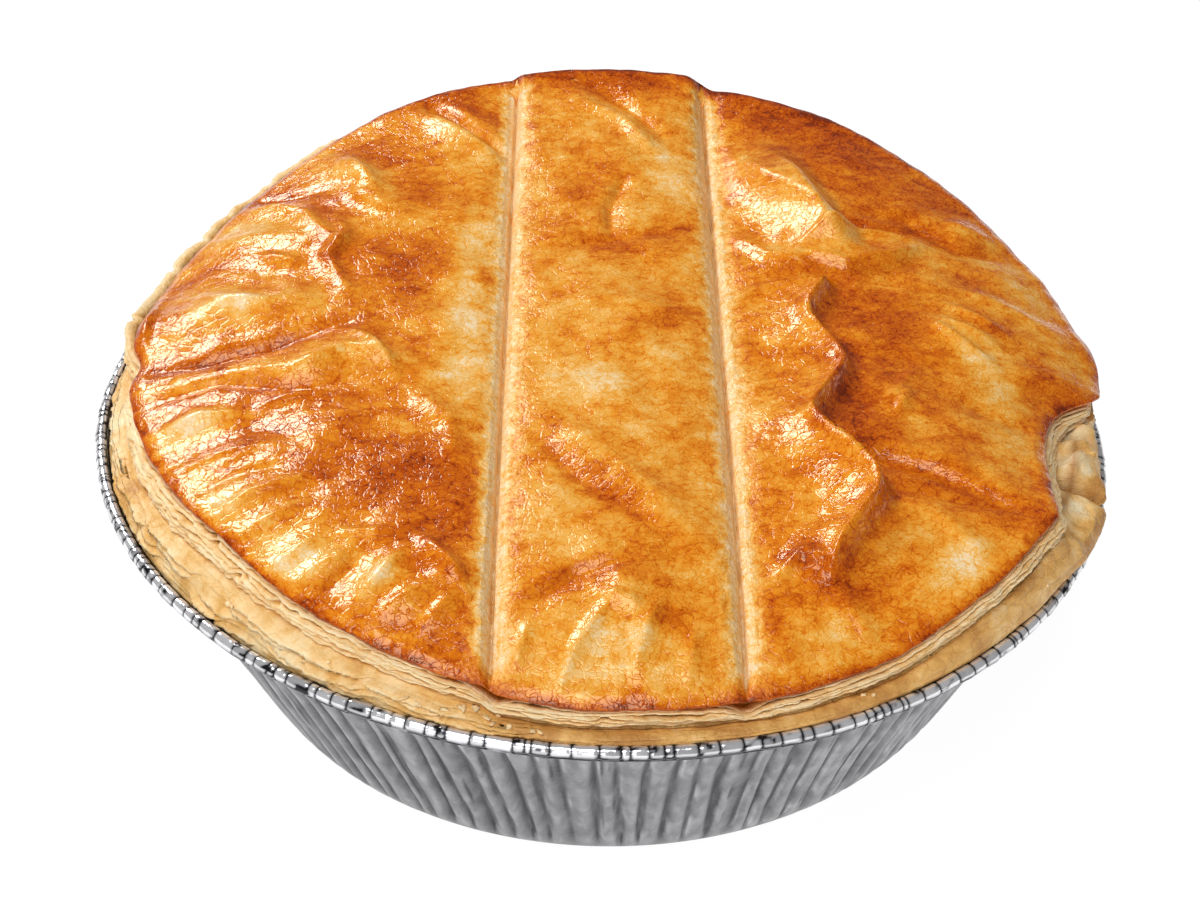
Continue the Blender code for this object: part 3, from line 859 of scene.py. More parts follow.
def pale_pastry(name, toasted):
    """Unglazed pastry: cream to tan, with painted shade in its cracks and recesses; toasted where
    the mesh says so.
    """
    pastry = Finish(name, {"Specular IOR Level": 0.35})
    bake = pastry.carried("bake") + (pastry.mottle(1.6, 4.0) - 0.5) * 0.5
    bake = bake + (pastry.mottle(0.35, 2.0) - 0.5) * 0.25
    plates = (pastry.crackle(2.6, (1.0, 1.0, 1.4)) * 7.0).held()
    bake = bake + (1.0 - plates) * 0.15
    colour = pastry.ramp(bake.held(), PALE_STOPS)
    if toasted:
        colour = pastry.blend(pastry.carried("toast"), colour, PALE_TOASTED)
    # Painted shade where the mesh says so
    colour = pastry.blend(pastry.carried("recess_shade") * 0.85, colour, PALE_SHADE)
    sheets = pastry.mottle(0.9, 3.0, 0.6, (1.0, 1.0, 2.5)) + pastry.mottle(0.25, 2.0) * 0.3
    sheets = sheets * 0.2 + plates * 0.04
    roughness = 0.42 + (pastry.mottle(1.2, 2.0) - 0.5) * 0.3
    normal = pastry.bump(sheets, 1.0)
    return pastry.finish(Base_Color=colour, Roughness=roughness, Normal=normal)


case.data.materials.append(pale_pastry("pale_baked_pastry", False))
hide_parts("pastry_case")
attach(case, "root")

# ---------------------------------------------------------------------------------------------
# Layers of the lid. Puff pastry has risen in thin sheets, which show round its cut side as
# pale, ragged leaves under the browned skin. They are tight at the left and open at the back.
# ---------------------------------------------------------------------------------------------

LAYERS = 6
LAYER_STEPS = 1350
LAYER_INSET = 1.6
BACK_LEAVES = 2.5
LAYER_WAVE = 0.9
NOTCH_FLARE = 1.8
LAYER_SAG = 0.35
GROOVE_DIP = 1.3
GROOVE_DIP_WIDTH = 1.8
SKIN_EDGE = 0.5
# Stretches round the pie: where each starts and ends, and how soft its ends are
OPEN_BACK = (-146.0, -93.0, 18.0)
TIGHT_LEFT = (-90.0, -20.0, 20.0)
DRAWN_IN_AT_LOBE = (89.0, 104.0, 4.0)
UNTOASTED = (-150.0, -90.0, 20.0)
SHALLOW = (-150.0, -20.0, 30.0)
# Section of a sheet: how far in, as a share of its inset, and how high, as a share of its gauge
LAYER_SECTION = (
    (1.0, 0.5), (0.3, 0.5), (0.05, 0.32), (0.0, 0.0), (0.06, -0.35), (0.3, -0.5),
    (1.0, -0.5), (1.0, 0.5),
)


def layer_surface(number):
    """One sheet of the lid's side, as a closed ring."""
    share = (number + 0.5) / LAYERS
    seed = 80 + 7 * number

    def place(bearing, ring):
        inset, rise = np.array(LAYER_SECTION)[ring].T
        tight = flat_top(bearing, *TIGHT_LEFT)

        # Its ragged outer edge, between the browned edge above and the case below
        top_radius = edge_radius(bearing)
        outer = top_radius + (layer_radius(bearing) - top_radius) * share
        bulge = LAYER_BULGE * 4.0 * share * (1.0 - share)
        outer += bulge - 0.25 + NOTCH_FLARE * share * notch(bearing)
        outer -= flat_top(bearing, *DRAWN_IN_AT_LOBE)
        outer += BACK_LEAVES * flat_top(bearing, *OPEN_BACK) * (1.0 - 0.5 * share)
        loose = 0.6 + 0.4 * around(FLAKY, bearing)
        jag = ripples(bearing, (0.4, 7.0, seed), (0.3, 1.9, seed + 1), (0.2, 0.75, seed + 2))
        torn = smooth(3.0 * ripple(bearing, 3.2, seed + 3) - 1.1)
        outer += (jag - torn) * loose

        # Its waves and its gauge; its free edge sags, and so does the whole where a groove ends
        thickness = around(EDGE_THICKNESS, bearing) - SKIN_EDGE
        spacing = thickness / LAYERS
        middle = edge_height(bearing) - SKIN_EDGE - thickness * share
        wave = ripples(bearing, (0.9, 11.0, seed + 4), (0.25, 2.6, seed + 5))
        wave *= 1.0 - 0.3 * tight
        middle += np.minimum(spacing, LAYER_WAVE) * wave * smooth(share * 2.0 + 0.15)
        sag = LAYER_SAG * spacing * (1.0 + 0.6 * ripple(bearing, 3.0, seed + 6))
        sag = sag * (1.0 - 0.5 * tight)
        gauge = spacing * (0.8 + 0.35 * tight + 0.2 * ripple(bearing, 4.0, seed + 7))
        height = middle + rise * gauge - sag * (1.0 - np.minimum(1.0, inset * 2.0))
        height = height - 0.5 * inset * (1.0 - share)
        edge_spots = pie_spots(bearing, top_radius, 0.0)
        away = groove_distance(edge_spots[:, 0], edge_spots[:, 1])
        height = height - GROOVE_DIP * hump(away, 0.0, GROOVE_DIP_WIDTH) * (1.0 - share)
        points = pie_spots(bearing, outer - inset * LAYER_INSET, height)

        # Toasted near the browned edge and along the free edges of the lowest sheets
        toast = smooth(0.5 + 0.8 * ripple(bearing, 5.0, seed + 6)) * max(0.0, 0.75 - 3.0 * share)
        toast = toast * (1.0 - flat_top(bearing, *UNTOASTED))
        toast = toast + 0.12 * hump(inset, 0.0, 0.06) * (number > 3)
        # Painted shade, deeper into the gaps between the sheets and less at the left and back
        recess_shade = smooth(inset * 2.2 - 0.15) * (0.4 - 0.35 * flat_top(bearing, *SHALLOW))
        bake = 0.12 + 0.5 * inset
        bake = bake + 0.25 * lumps(points, 5.0, seed + 8) + 0.12 * lumps(points, 1.2, seed + 9)
        values = {"toast": toast, "recess_shade": recess_shade, "bake": bake}
        return points, {key: np.clip(value, 0.0, 1.0) for key, value in values.items()}

    return place


def joined(name, sheets):
    """Several meshes made into one piece."""
    shape = bmesh.new()
    for sheet in sheets:
        shape.from_mesh(sheet.data)
        bpy.data.objects.remove(sheet)
    return finished(name, shape)


sheets = [
    wrapped(f"sheet_{number}", LAYER_STEPS, len(LAYER_SECTION), layer_surface(number))
    for number in range(LAYERS)
]
layers = joined("lid_layers", sheets)
layers.data.materials.append(pale_pastry("pale_lid_layers", True))
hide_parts("pastry_lid")
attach(layers, "root")

# ---------------------------------------------------------------------------------------------
# Skin of the lid. The top sheets are glazed with egg and baked golden brown, with two straight
# score grooves from front to back. The panels puff up between the grooves, wrinkle towards
# the edge, and brown most on their crests and round the rim.
# ---------------------------------------------------------------------------------------------

SKIN_CELLS = 280
SHOULDER_POWER = 6
GROOVE_DEPTH = 0.9
GROOVE_HALF_WIDTH = 1.0
SLOT_DEPTH = 1.2
SLOT_HALF_WIDTH = 0.32
GROOVE_LINES = (-1.5, -1.0, -0.65, -0.35, -0.15, 0.0, 0.15, 0.35, 0.65, 1.0, 1.5)
PANEL_PUFF = 1.2
PUFF_REACH = 6.0
# Where the blister beside the right groove falls away, as x and y, from front to back
BLISTER_EDGE = (
    (25.0, -44.0), (26.5, -38.0), (31.5, -29.0), (24.8, -16.0), (29.2, -5.0), (25.6, 5.0),
    (29.0, 14.0),
)
BLISTER_LOW = 1.1
# Places where it is higher: how much, at which y, and half width
BLISTER_HUMPS = ((2.0, -26.0, 10.0), (0.4, 12.0, 5.0))
BLISTER_CREST = 0.45
BLISTER_FALL = 2.4
BLISTER_RISE = 7.5
BLISTER_FADE = (6.0, 4.0)
PEAK_CREST = (29.6, 21.5)
PEAK_SLANT = -0.335
PEAK_ENDS = (17.0, 48.0)
PEAK_FADE = (7.0, 14.0)
PEAK_RISE = 9.5
PEAK_FALL = 5.0
PEAK_HEIGHT = 3.2
LIP_CREST_WIDTH = 4.0
# The calm place in the left panel, with few folds
CALM_SPOT = (-36.0, -19.0)
BROWNEST = 0.86
# The turned edge: how far out from the browned edge each ring is, and how high over it
TURNED_EDGE = ((0.14, -0.16), (0.1, -0.36), (-0.5, -0.45), (-2.2, -0.5))
# Rings that close it across the lid's underside, as shares of the radius
CLOSING_RINGS = (0.955, 0.8, 0.5, 0.2)
# Each fold: the line it follows, its height, and its half width, or two where it is wider at
# the right of the line than at the left
FOLDS = (
    # Broad folds, the same as the solid's
    (((19, 15), (40, 22)), 0.9, 3.0),
    (((-13, 42), (-26, 53)), 0.7, 3.0),
    (((-28, 29), (-38, 43)), 0.9, 3.0),
    (((-36, 20), (-56, 27)), 1.1, 3.5),
    (((-34, 7), (-57, 6)), 1.0, 3.0),
    (((-25, -6), (-54, -9)), 1.1, 3.0),
    (((-28, -16), (-48, -30)), 0.5, 3.0),
    (((-15, -42), (-24, -50)), 0.8, 2.5),
    (((0, -38), (5, -52)), 0.7, 2.5),
    # Left panel
    (((-25, 51), (-19, 45), (-13, 39)), 1.22, 1.2, 2.6),
    (((-26, 55), (-19, 48), (-12, 41)), -1.57, 0.9, 1.3),
    (((-35, 41), (-30, 32)), 1.05, 1.4, 2.2),
    (((-34, 32), (-27, 26)), 0.88, 1.8, 1.3),
    (((-48, 32), (-43, 30), (-39, 27), (-34, 19)), 1.4, 1.2, 2.0),
    (((-50, 36), (-44, 34), (-38, 33)), -0.88, 1.2),
    (((-44, 18), (-38, 15)), 0.88, 1.0, 1.6),
    (((-35, 26), (-33, 21), (-35, 16), (-32, 9)), 1.05, 0.8, 1.0),
    (((-52, 10), (-46, 7), (-40, 5)), 0.88, 1.8, 1.4),
    (((-57, -4), (-49, -4), (-42, -2), (-32, 2)), -1.4, 1.1, 1.4),
    (((-38, -9), (-31, -4), (-26, -6)), 1.05, 1.8, 1.4),
    (((-31, 0), (-28, -3), (-25, -8)), 1.22, 0.7, 1.2),
    (((-56, -11), (-46, -9), (-36, -11), (-26, -13)), -1.05, 1.2),
    (((-54, -17), (-48, -15), (-41, -15)), 1.05, 1.3, 1.6),
    (((-41, -14), (-35, -12), (-26, -12)), 0.88, 1.0, 1.2),
    (((-52, -25), (-44, -22), (-37, -21)), 0.7, 1.2),
    (((-46, -35), (-40, -30), (-33, -27)), 1.05, 0.9, 1.3),
    (((-49, -30), (-42, -26), (-36, -25)), -0.7, 1.0),
    (((-43, -38), (-34, -32)), 0.88, 1.2),
    (((-39, -44), (-32, -38)), 0.88, 1.1),
    (((-35, -45), (-28, -40)), 1.05, 1.6, 1.2),
    (((-28, -49), (-25, -45), (-22, -40)), 1.22, 1.3),
    (((-31, -46), (-27, -41)), -0.88, 1.0),
    (((-20, -38), (-15, -45)), 1.22, 0.9, 1.6),
    (((-26, -51), (-20, -46)), 1.05, 1.3),
    (((-20, -52), (-16, -46)), 0.88, 1.1),
    (((-30, -37), (-23, -37)), 0.7, 0.8, 1.0),
    (((-22, -12), (-18, -18), (-17, -25)), 0.61, 1.6),
    # Middle panel
    (((-8, -19), (-4, -26), (0, -30), (4, -33), (8, -38)), -0.5, 1.2, 1.6),
    (((-6, -16), (1, -24), (6, -30), (10, -36)), 0.55, 2.4, 2.0),
    (((-8, -47), (-3, -43), (3, -41)), -0.88, 1.0, 1.4),
    (((-10, -56), (-8, -50)), 0.88, 0.9),
    (((-5, -58), (-3, -53), (1, -47)), 0.96, 0.9),
    (((3, -56), (6, -47)), 0.88, 1.0, 0.9),
    (((0, -46), (4, -48)), 0.7, 0.8),
    (((9, -57), (10, -50)), 0.61, 0.9),
    (((-6, 60), (0, 56), (3, 53), (8, 45)), -1.1, 1.2, 1.6),
    (((-3, 53), (3, 48), (7, 41)), 0.88, 1.6, 1.2),
    (((3, 35), (1, 28), (1, 21)), -1.05, 1.4, 1.0),
    (((-9, 18), (-1, 20), (8, 22)), -0.61, 1.4),
    (((-9, 4), (0, 7), (9, 5)), 0.53, 2.2),
    # Right panel
    (((18, 41), (22, 34), (29, 26)), 1.22, 2.4, 1.6),
    (((25, 20), (30, 23.5), (35, 24.5), (41, 24)), 1.05, 0.8, 1.2),
    (((41, 22.5), (37, 18.5), (31, 16.5), (25, 18.5)), 1.4, 0.9, 1.1),
    (((17, 24), (21, 18.5), (26, 17)), 1.05, 1.3, 1.1),
    (((16, 10), (20, 12), (26, 13), (28, 11), (25.4, 7), (25, 4), (28.6, -1)), 0.88, 0.7, 1.0),
    (((28.6, -1), (29.4, -5), (27, -10), (24.4, -16), (27, -21), (31, -27)), 1.05, 0.7, 1.1),
    (((31, -27), (31, -31), (28.5, -36), (26.5, -40), (24, -42)), 1.05, 0.7, 1.1),
    (((26, -41), (22, -38.5), (19, -42)), 0.88, 0.8, 0.9),
    (((42, 7), (49, 3)), 0.88, 0.9, 1.2),
    (((29, 29), (35, 26), (43, 28)), -1.05, 1.3, 1.0),
    (((33, 30), (40, 29.5), (46, 24), (54, 25)), -0.88, 1.4),
    (((45, 30), (52, 29)), 0.88, 2.0),
    (((34, -11), (38, -4)), 0.5, 0.8, 0.9),
    (((29, -20), (38, -23), (51, -31)), -1.05, 1.2, 1.6),
    (((32, -27), (41, -28), (51, -28)), -0.7, 1.2),
    (((44, -10), (52, -12)), -0.7, 1.2, 1.4),
    (((46, 14), (57, 10)), 0.7, 1.5),
    (((41, 6), (44, 2.5), (48, -1)), 1.1, 0.8, 1.4),
    (((35, -13), (37, -8)), 0.7, 0.7, 1.0),
    (((44, 10), (50, 6)), 0.8, 0.7, 1.2),
    (((44, -40), (38, -30)), 0.61, 1.6),
    (((30, -50), (26, -44)), 0.7, 1.4),
)
# Browned places: the line they follow, how much browner, and their half width
BROWNED = (
    (((-34, -24), (-22, -26), (-15, -30)), 0.42, 4.5),
    (((-25, -33), (-13, -37)), 0.36, 3.5),
    (((-36, 24), (-33, 12)), 0.25, 2.5),
    (((-28, 18), (-20, 9)), 0.34, 4.0),
    (((-57, -4), (-45, -4), (-32, 0)), 0.24, 2.2),
    (((-55, -12), (-40, -12), (-26, -14)), 0.26, 2.2),
    (((-52, 36), (-40, 33), (-34, 26)), 0.22, 2.2),
    (((-40, 44), (-28, 40), (-22, 30)), 0.2, 2.4),
    (((-24, 58), (-10, 45)), 0.28, 1.6),
    (((-48, -22), (-38, -19)), 0.16, 3.0),
    (((-57, 10), (-54, 2)), 0.1, 2.0),
    (((-15, 15), (-14, 8)), 0.2, 1.6),
    (((-20, -38), (-14, -48)), 0.2, 3.0),
    (((-22, -52), (-14, -55)), 0.2, 3.0),
    (((-10, 60), (0, 58), (12, 58)), 0.36, 3.0),
    (((-7, 44), (2, 36), (-7, 28)), 0.12, 4.0),
    (((-6, 21), (2, 18), (11, 22)), 0.24, 2.6),
    (((4, 6), (11, 2)), 0.14, 4.0),
    (((-8, -20), (0, -29), (9, -38)), 0.3, 1.8),
    (((-9, -48), (-3, -43), (3, -41)), 0.2, 2.0),
    (((1, -43), (9, -47)), 0.1, 5.0),
    (((-10, -59), (0, -60), (10, -60)), 0.18, 1.6),
    (((16, 57), (28, 50), (38, 42)), 0.48, 4.5),
    (((20, 46), (30, 40), (42, 34)), 0.2, 5.0),
    (((38, 42), (50, 31)), 0.25, 2.6),
    (((20, 16), (30, 15), (38, 17)), 0.28, 1.8),
    (((29, 11), (36, 5), (37, -8)), 0.26, 5.0),
    (((-42, -19), (-32, -18)), 0.12, 3.0),
    (((30, 0), (30, -12), (33, -24)), 0.3, 3.0),
    (((27, -15), (38, -24), (50, -31)), 0.18, 2.2),
    (((20, -35), (26, -44), (34, -40)), 0.24, 2.0),
    (((18, -45), (20, -50)), 0.18, 3.0),
    (((28, 28), (40, 28), (52, 24)), 0.22, 2.2),
    (((50, -4), (60, -2)), 0.1, 3.0),
    (((44, -36), (50, -26)), 0.05, 3.0),
)
# Pale places: the line they follow, how much paler, and their half width
PALE_PLACES = (
    (((-16, 30), (-17, 10), (-16, -14)), 0.3, 3.2),
    (((-22, -6), (-17, -10)), 0.12, 4.0),
    (((-16, 44), (-22, 38)), 0.12, 4.0),
    (((-50, 8), (-42, 6)), 0.24, 2.6),
    (((-50, 28), (-42, 24)), 0.2, 2.8),
    (((-44, 41), (-34, 46)), 0.2, 3.0),
    (((-54, -17), (-44, -16)), 0.24, 2.6),
    (((-50, -27), (-40, -32)), 0.22, 3.2),
    (((-40, -40), (-30, -42)), 0.22, 3.0),
    (((-28, -46), (-22, -42)), 0.2, 2.2),
    (((8, 42), (10, 30)), 0.16, 4.0),
    (((-2, 14), (4, 10)), 0.1, 3.0),
    (((-7, -6), (4, -12)), 0.16, 4.0),
    (((-8, -32), (-6, -38)), 0.1, 3.0),
    (((-4, -54), (4, -54)), 0.2, 4.5),
    (((44, 30), (52, 20), (56, 10)), 0.14, 4.0),
    (((44, -14), (54, -18)), 0.16, 4.0),
    (((34, -44), (42, -36)), 0.18, 4.0),
    (((18, -48), (30, -52)), 0.14, 4.0),
    # A painted highlight on the blister's rising face
    (((18, -4), (19, -16)), 0.12, 3.0),
    (((44, 3), (48, -8)), 0.24, 4.0),
    # A painted highlight on the peak's lit slope
    (((20, 25), (26, 26), (24, 34)), 0.12, 3.5),
    (((36, -38), (44, -36)), 0.14, 4.0),
    (((-36, -38), (-28, -40)), 0.1, 3.0),
)


def from_line(x, y, line):
    """Distance from a bent line, negative at its left, and the share of the way along it."""
    nearest = np.full(x.shape, 1e6)
    side = np.zeros_like(x)
    share = np.zeros_like(x)
    for number, (start, end) in enumerate(zip(line, line[1:])):
        run_x, run_y = end[0] - start[0], end[1] - start[1]
        step = ((x - start[0]) * run_x + (y - start[1]) * run_y) / (run_x**2 + run_y**2)
        step = np.clip(step, 0.0, 1.0)
        off_x = x - start[0] - step * run_x
        off_y = y - start[1] - step * run_y
        away = np.hypot(off_x, off_y)
        closer = away < nearest
        nearest = np.where(closer, away, nearest)
        side = np.where(closer, np.sign(off_x * run_y - off_y * run_x), side)
        share = np.where(closer, (number + step) / (len(line) - 1), share)
    return nearest * side, share


def along_lines(x, y, lines, sharpness=2.0):
    """Sum of ridges along bent lines; less than 2 gives them a sharper crest."""
    total = np.zeros_like(x)
    for line, height, *widths in lines:
        left, right = widths[0], widths[-1]
        reach = 3.0 * max(widths)
        xs, ys = zip(*line)
        near = (x > min(xs) - reach) & (x < max(xs) + reach)
        near &= (y > min(ys) - reach) & (y < max(ys) + reach)
        away, share = from_line(x[near], y[near], line)
        width = np.where(away < 0.0, left, right)
        taper = np.sqrt(np.sin(math.pi * np.clip(share, 0.03, 0.97)))
        total[near] += height * np.exp(-(np.abs(away / width) ** sharpness)) * taper
    return total


def blister_edge(y):
    """Where the blister on the right panel falls away, at each y."""
    rows = [(y_at, x_at) for x_at, y_at in BLISTER_EDGE]
    step = rows[1][0] - rows[0][0]
    rows = [(rows[0][0] - step, rows[0][1]), *rows, (rows[-1][0] + step, rows[-1][1])]
    return through(rows, np.clip(y, rows[1][0], rows[-2][0]))


def blister_ends(y, front, back):
    """1 along the blister, fading to 0 at its ends over a length of its own at each."""
    first, last = BLISTER_EDGE[0][1], BLISTER_EDGE[-1][1]
    return smooth((y - first) / front) * smooth((last - y) / back)


def blister(x, y):
    """Rise of the blister: soft towards the groove, steep at its wavy right side."""
    tall = sum((height * hump(y, at, width) for height, at, width in BLISTER_HUMPS), BLISTER_LOW)
    past = x - blister_edge(y)
    crest = BLISTER_CREST * hump(past, -0.15, 0.5)
    steep = 1.0 - np.sin(np.clip(past / BLISTER_FALL, 0.0, 1.0) * math.pi / 2.0)
    ramp = np.clip(1.0 + past / BLISTER_RISE, 0.0, 1.0) ** 1.3
    ramp = ramp * smooth(past_groove(1, x, y) / 3.0)
    return blister_ends(y, *BLISTER_FADE) * (tall * steep * ramp + crest)


def crown(x, y):
    """The lid's broad form without its rounded shoulders, grooves and folds."""
    height = RIM_HEIGHT + PLATE_HEIGHT + PLATE_RISE * y + PLATE_LEAN * x - PLATE_BOW * x * x
    height = height + PANEL_PUFF * (1.0 - np.exp(-groove_distance(x, y) / PUFF_REACH))
    return height + panel_step(x, y) + blister(x, y)


def peak(x, y):
    """A peak beside the right groove: a long slope up from the left, ending in a bent crest."""
    past = x - PEAK_CREST[0] - PEAK_SLANT * (y - PEAK_CREST[1])
    ends = smooth((y - PEAK_ENDS[0]) / PEAK_FADE[0]) * smooth((PEAK_ENDS[1] - y) / PEAK_FADE[1])
    rise = np.clip(1.0 + past / PEAK_RISE, 0.0, 1.0) ** 1.4
    height = PEAK_HEIGHT * ends * rise * (1.0 - smooth(past / PEAK_FALL))
    return height * smooth(past_groove(1, x, y) / 3.0)


def side_panels(x, y, soft):
    """1 on the left panel, and 1 on the right one, each fading to 0 at its groove."""
    return smooth(past_groove(-1, x, y) / soft), smooth(past_groove(1, x, y) / soft)


def skin_relief(x, y, bearing, share):
    """Folds, wrinkles and small lumps of the glazed skin."""
    flat = flat_spots(x, y)
    left, right = side_panels(x, y, 4.0)
    side = np.maximum(left, right)
    calm = np.hypot(x - CALM_SPOT[0], y - CALM_SPOT[1])
    relief = along_lines(x, y, FOLDS, 1.45) * (1.0 - 0.6 * hump(calm, 0.0, 7.0)) + peak(x, y)
    relief += rough(flat, (0.3, 7.5, 101), (0.09, 3.6, 102))
    wrinkle = 0.35 - np.abs(lumps(flat, 3.2, 103))
    relief += 0.12 * side * wrinkle + 0.025 * lumps(flat, 1.5, 104) + 0.01 * lumps(flat, 0.9, 105)
    polar = ring_spots(bearing, 60.0, share * 20.0)
    pleats = 0.3 - np.abs(lumps(polar, (7.0, 7.0, 10.0), 106))
    pleats = pleats * (1.0 - 0.7 * hump(calm, 0.0, 9.0))
    return relief + (0.1 + 0.2 * left) * pleats * smooth((share - 0.4) / 0.4)


def skin_height(x, y, bearing, share):
    """Height of the glazed skin."""
    radius = edge_radius(bearing)
    rim = pie_spots(bearing, radius, 0.0)
    drop = edge_height(bearing) - crown(rim[:, 0], rim[:, 1])
    relief = skin_relief(x, y, bearing, share) * (1.0 - share**14)
    inward = (1.0 - share) * radius
    bead = 0.18 + 0.75 * hump(bearing, LIP_BEARING, LIP_CREST_WIDTH)
    relief += bead * hump(inward, 1.1, 0.7)

    # The score grooves: a ragged valley, and a narrow slot along its middle
    away = groove_distance(x, y)
    flat = flat_spots(x, y)
    ragged = 1.0 + 0.3 * lumps(flat, 1.3, 107)
    cut = GROOVE_DEPTH * np.maximum(0.0, 1.0 - away / (GROOVE_HALF_WIDTH * ragged)) ** 0.9
    slot = 1.0 + 0.5 * lumps(flat, 1.7, 108)
    cut += SLOT_DEPTH * slot * np.maximum(0.0, 1.0 - away / SLOT_HALF_WIDTH)
    cut += 0.3 * hump(away, 0.0, 2.2) * (1.0 + 0.5 * lumps(flat, 0.9, 109))
    cut *= 1.0 - 0.75 * smooth((share - 0.955) / 0.04)
    return crown(x, y) + drop * share**SHOULDER_POWER + relief - cut


def skin_brown(x, y, bearing, share):
    """How brown the glazed skin is, from 0, cream, to 1, dark brown."""
    flat = flat_spots(x, y)
    warp_x = x + 1.3 * lumps(flat, 4.0, 111) + 0.5 * lumps(flat, 1.3, 112)
    warp_y = y + 1.3 * lumps(flat, 4.0, 113) + 0.5 * lumps(flat, 1.3, 114)
    middle_panel = smooth(-past_groove(-1, x, y) / 4.0) * smooth(-past_groove(1, x, y) / 4.0)
    brown = 0.5 - 0.09 * middle_panel
    brown += along_lines(warp_x, warp_y, BROWNED) - along_lines(warp_x, warp_y, PALE_PLACES)
    brown += rough(flat, (0.11, 6.5, 115), (0.1, 2.4, 116), (0.06, 1.1, 117))
    # Darker in the hollows of the folds and paler on their crests: partly glaze gathered in the
    # hollows, partly painted shade and painted highlight
    brown -= 0.07 * np.clip(skin_relief(x, y, bearing, share), -1.3, 1.3)
    brown = np.minimum(0.5 + 1.3 * (brown - 0.5), 0.84 * np.tanh(brown / 0.66))

    # Painted shade on the blister's steep side; browner towards the edge, most at the back, and on
    # the lip
    inward = (1.0 - share) * edge_radius(bearing)
    edge = hump(inward + 0.12 * ripple(bearing, 2.5, 118), 0.0, 0.5)
    near_edge = 0.07 * np.exp(-inward / 1.6) * (1.0 + ripple(bearing, 12.0, 119))
    back = smooth((np.abs(bearing) - 110.0) / 50.0)
    steep = hump(x - blister_edge(y), 1.2, 1.5) * blister_ends(y, 4.0, 4.0)
    brown += 0.16 * steep
    brown += near_edge + (0.2 + 0.14 * back) * edge + 0.1 * back * np.exp(-inward / 3.0)
    brown += 0.12 * hump(bearing, LIP_BEARING, LIP_CREST_WIDTH) * hump(inward, 0.6, 0.9)

    # Pale along the grooves, where the cut parted the glaze
    ragged = 1.0 + 0.5 * lumps(flat, 1.6, 120) + 0.35 * lumps(flat, 0.8, 121)
    strip = smooth(1.25 - groove_distance(x, y) / (2.4 * np.maximum(0.25, ragged)))
    strip = strip * (1.0 - smooth((share - 0.94) / 0.05))
    pale = 0.03 + 0.14 * np.abs(lumps(flat, 0.9, 122))
    return np.clip(brown * (1.0 - strip) + pale * strip, 0.0, BROWNEST)


def skin_gloss(x, y, share):
    """How glossy the skin is: full glaze on the side panels, a little less in the middle."""
    flat = flat_spots(x, y)
    side = np.maximum(*side_panels(x, y, 7.0))
    gloss = 0.84 + 0.16 * side + 0.2 * lumps(flat, 8.0, 131) + 0.1 * lumps(flat, 2.5, 132)
    gloss += 0.25 * smooth((share - 0.75) / 0.2)
    gloss = np.clip(gloss, 0.0, 1.0)
    gloss += (0.85 - gloss) * smooth(peak(x, y) / 0.8)
    return np.clip(gloss * smooth((groove_distance(x, y) - 1.2) / 3.0), 0.0, 1.0)


def glazed_skin():
    """The skin: a round grid, cut along the grooves, with a thin edge turned under the lid."""
    shape = bmesh.new()
    bmesh.ops.create_grid(shape, x_segments=SKIN_CELLS, y_segments=SKIN_CELLS, size=1.0)

    # Each square ring of the grid is bent into a round one, and spread to the lid's edge
    across, ahead = np.array([vert.co.xy[:] for vert in shape.verts]).T
    wide = np.abs(across) > np.abs(ahead)
    reach = np.where(wide, across, ahead)
    other = np.where(wide, ahead, across)
    turn = math.pi / 4.0 * other / np.where(np.abs(reach) > 1e-9, reach, 1.0)
    x = reach * np.where(wide, np.cos(turn), np.sin(turn))
    y = reach * np.where(wide, np.sin(turn), np.cos(turn))
    bearing = np.degrees(np.arctan2(x, -y))
    flat = pie_spots(bearing, edge_radius(bearing) * np.hypot(x, y), 0.0)
    for vert, point in zip(shape.verts, flat):
        vert.co = point * MM

    # Rows of edges along both grooves keep their slots straight
    for middle, slant in GROOVES.values():
        for offset in GROOVE_LINES:
            bmesh.ops.bisect_plane(
                shape,
                geom=shape.verts[:] + shape.edges[:] + shape.faces[:],
                dist=0.02 * MM,
                plane_co=((middle + offset) * MM, 0.0, 0.0),
                plane_no=(1.0, -slant, 0.0),
            )

    x, y = np.array([vert.co.xy[:] for vert in shape.verts]).T / MM
    bearing = pie_bearing(x, y)
    share = np.minimum(1.0, np.hypot(x - PIE_X, y) / edge_radius(bearing))
    for vert, height in zip(shape.verts, skin_height(x, y, bearing, share)):
        vert.co.z = height * MM
    carry(shape, {"brown": skin_brown(x, y, bearing, share), "gloss": skin_gloss(x, y, share)})
    turn_under(shape)
    bmesh.ops.recalc_face_normals(shape, faces=shape.faces)
    return finished("glazed_skin", shape)


def turn_under(shape):
    """Carry the skin's edge down the lid's side and close it across the underside."""
    brown, gloss = (shape.verts.layers.float[key] for key in ("brown", "gloss"))
    for number in range(len(TURNED_EDGE) + len(CLOSING_RINGS)):
        edges = [edge for edge in shape.edges if edge.is_boundary]
        made = bmesh.ops.extrude_edge_only(shape, edges=edges)["geom"]
        verts = [item for item in made if isinstance(item, bmesh.types.BMVert)]
        bearing = pie_bearing(*np.array([vert.co.xy[:] for vert in verts]).T / MM)
        if number < len(TURNED_EDGE):
            out, rise = TURNED_EDGE[number]
            radius = edge_radius(bearing) + out
            height = edge_height(bearing) + rise
        else:
            share = CLOSING_RINGS[number - len(TURNED_EDGE)]
            radius, height = lid_underside(0.0, share, bearing)
        for vert, point in zip(verts, pie_spots(bearing, radius, height)):
            vert.co = point * MM
            vert[brown] = 0.78 if number < 2 else 0.3
            vert[gloss] = 0.5
    rim = [edge for edge in shape.edges if edge.is_boundary]
    bmesh.ops.edgeloop_fill(shape, edges=rim)


skin = glazed_skin()

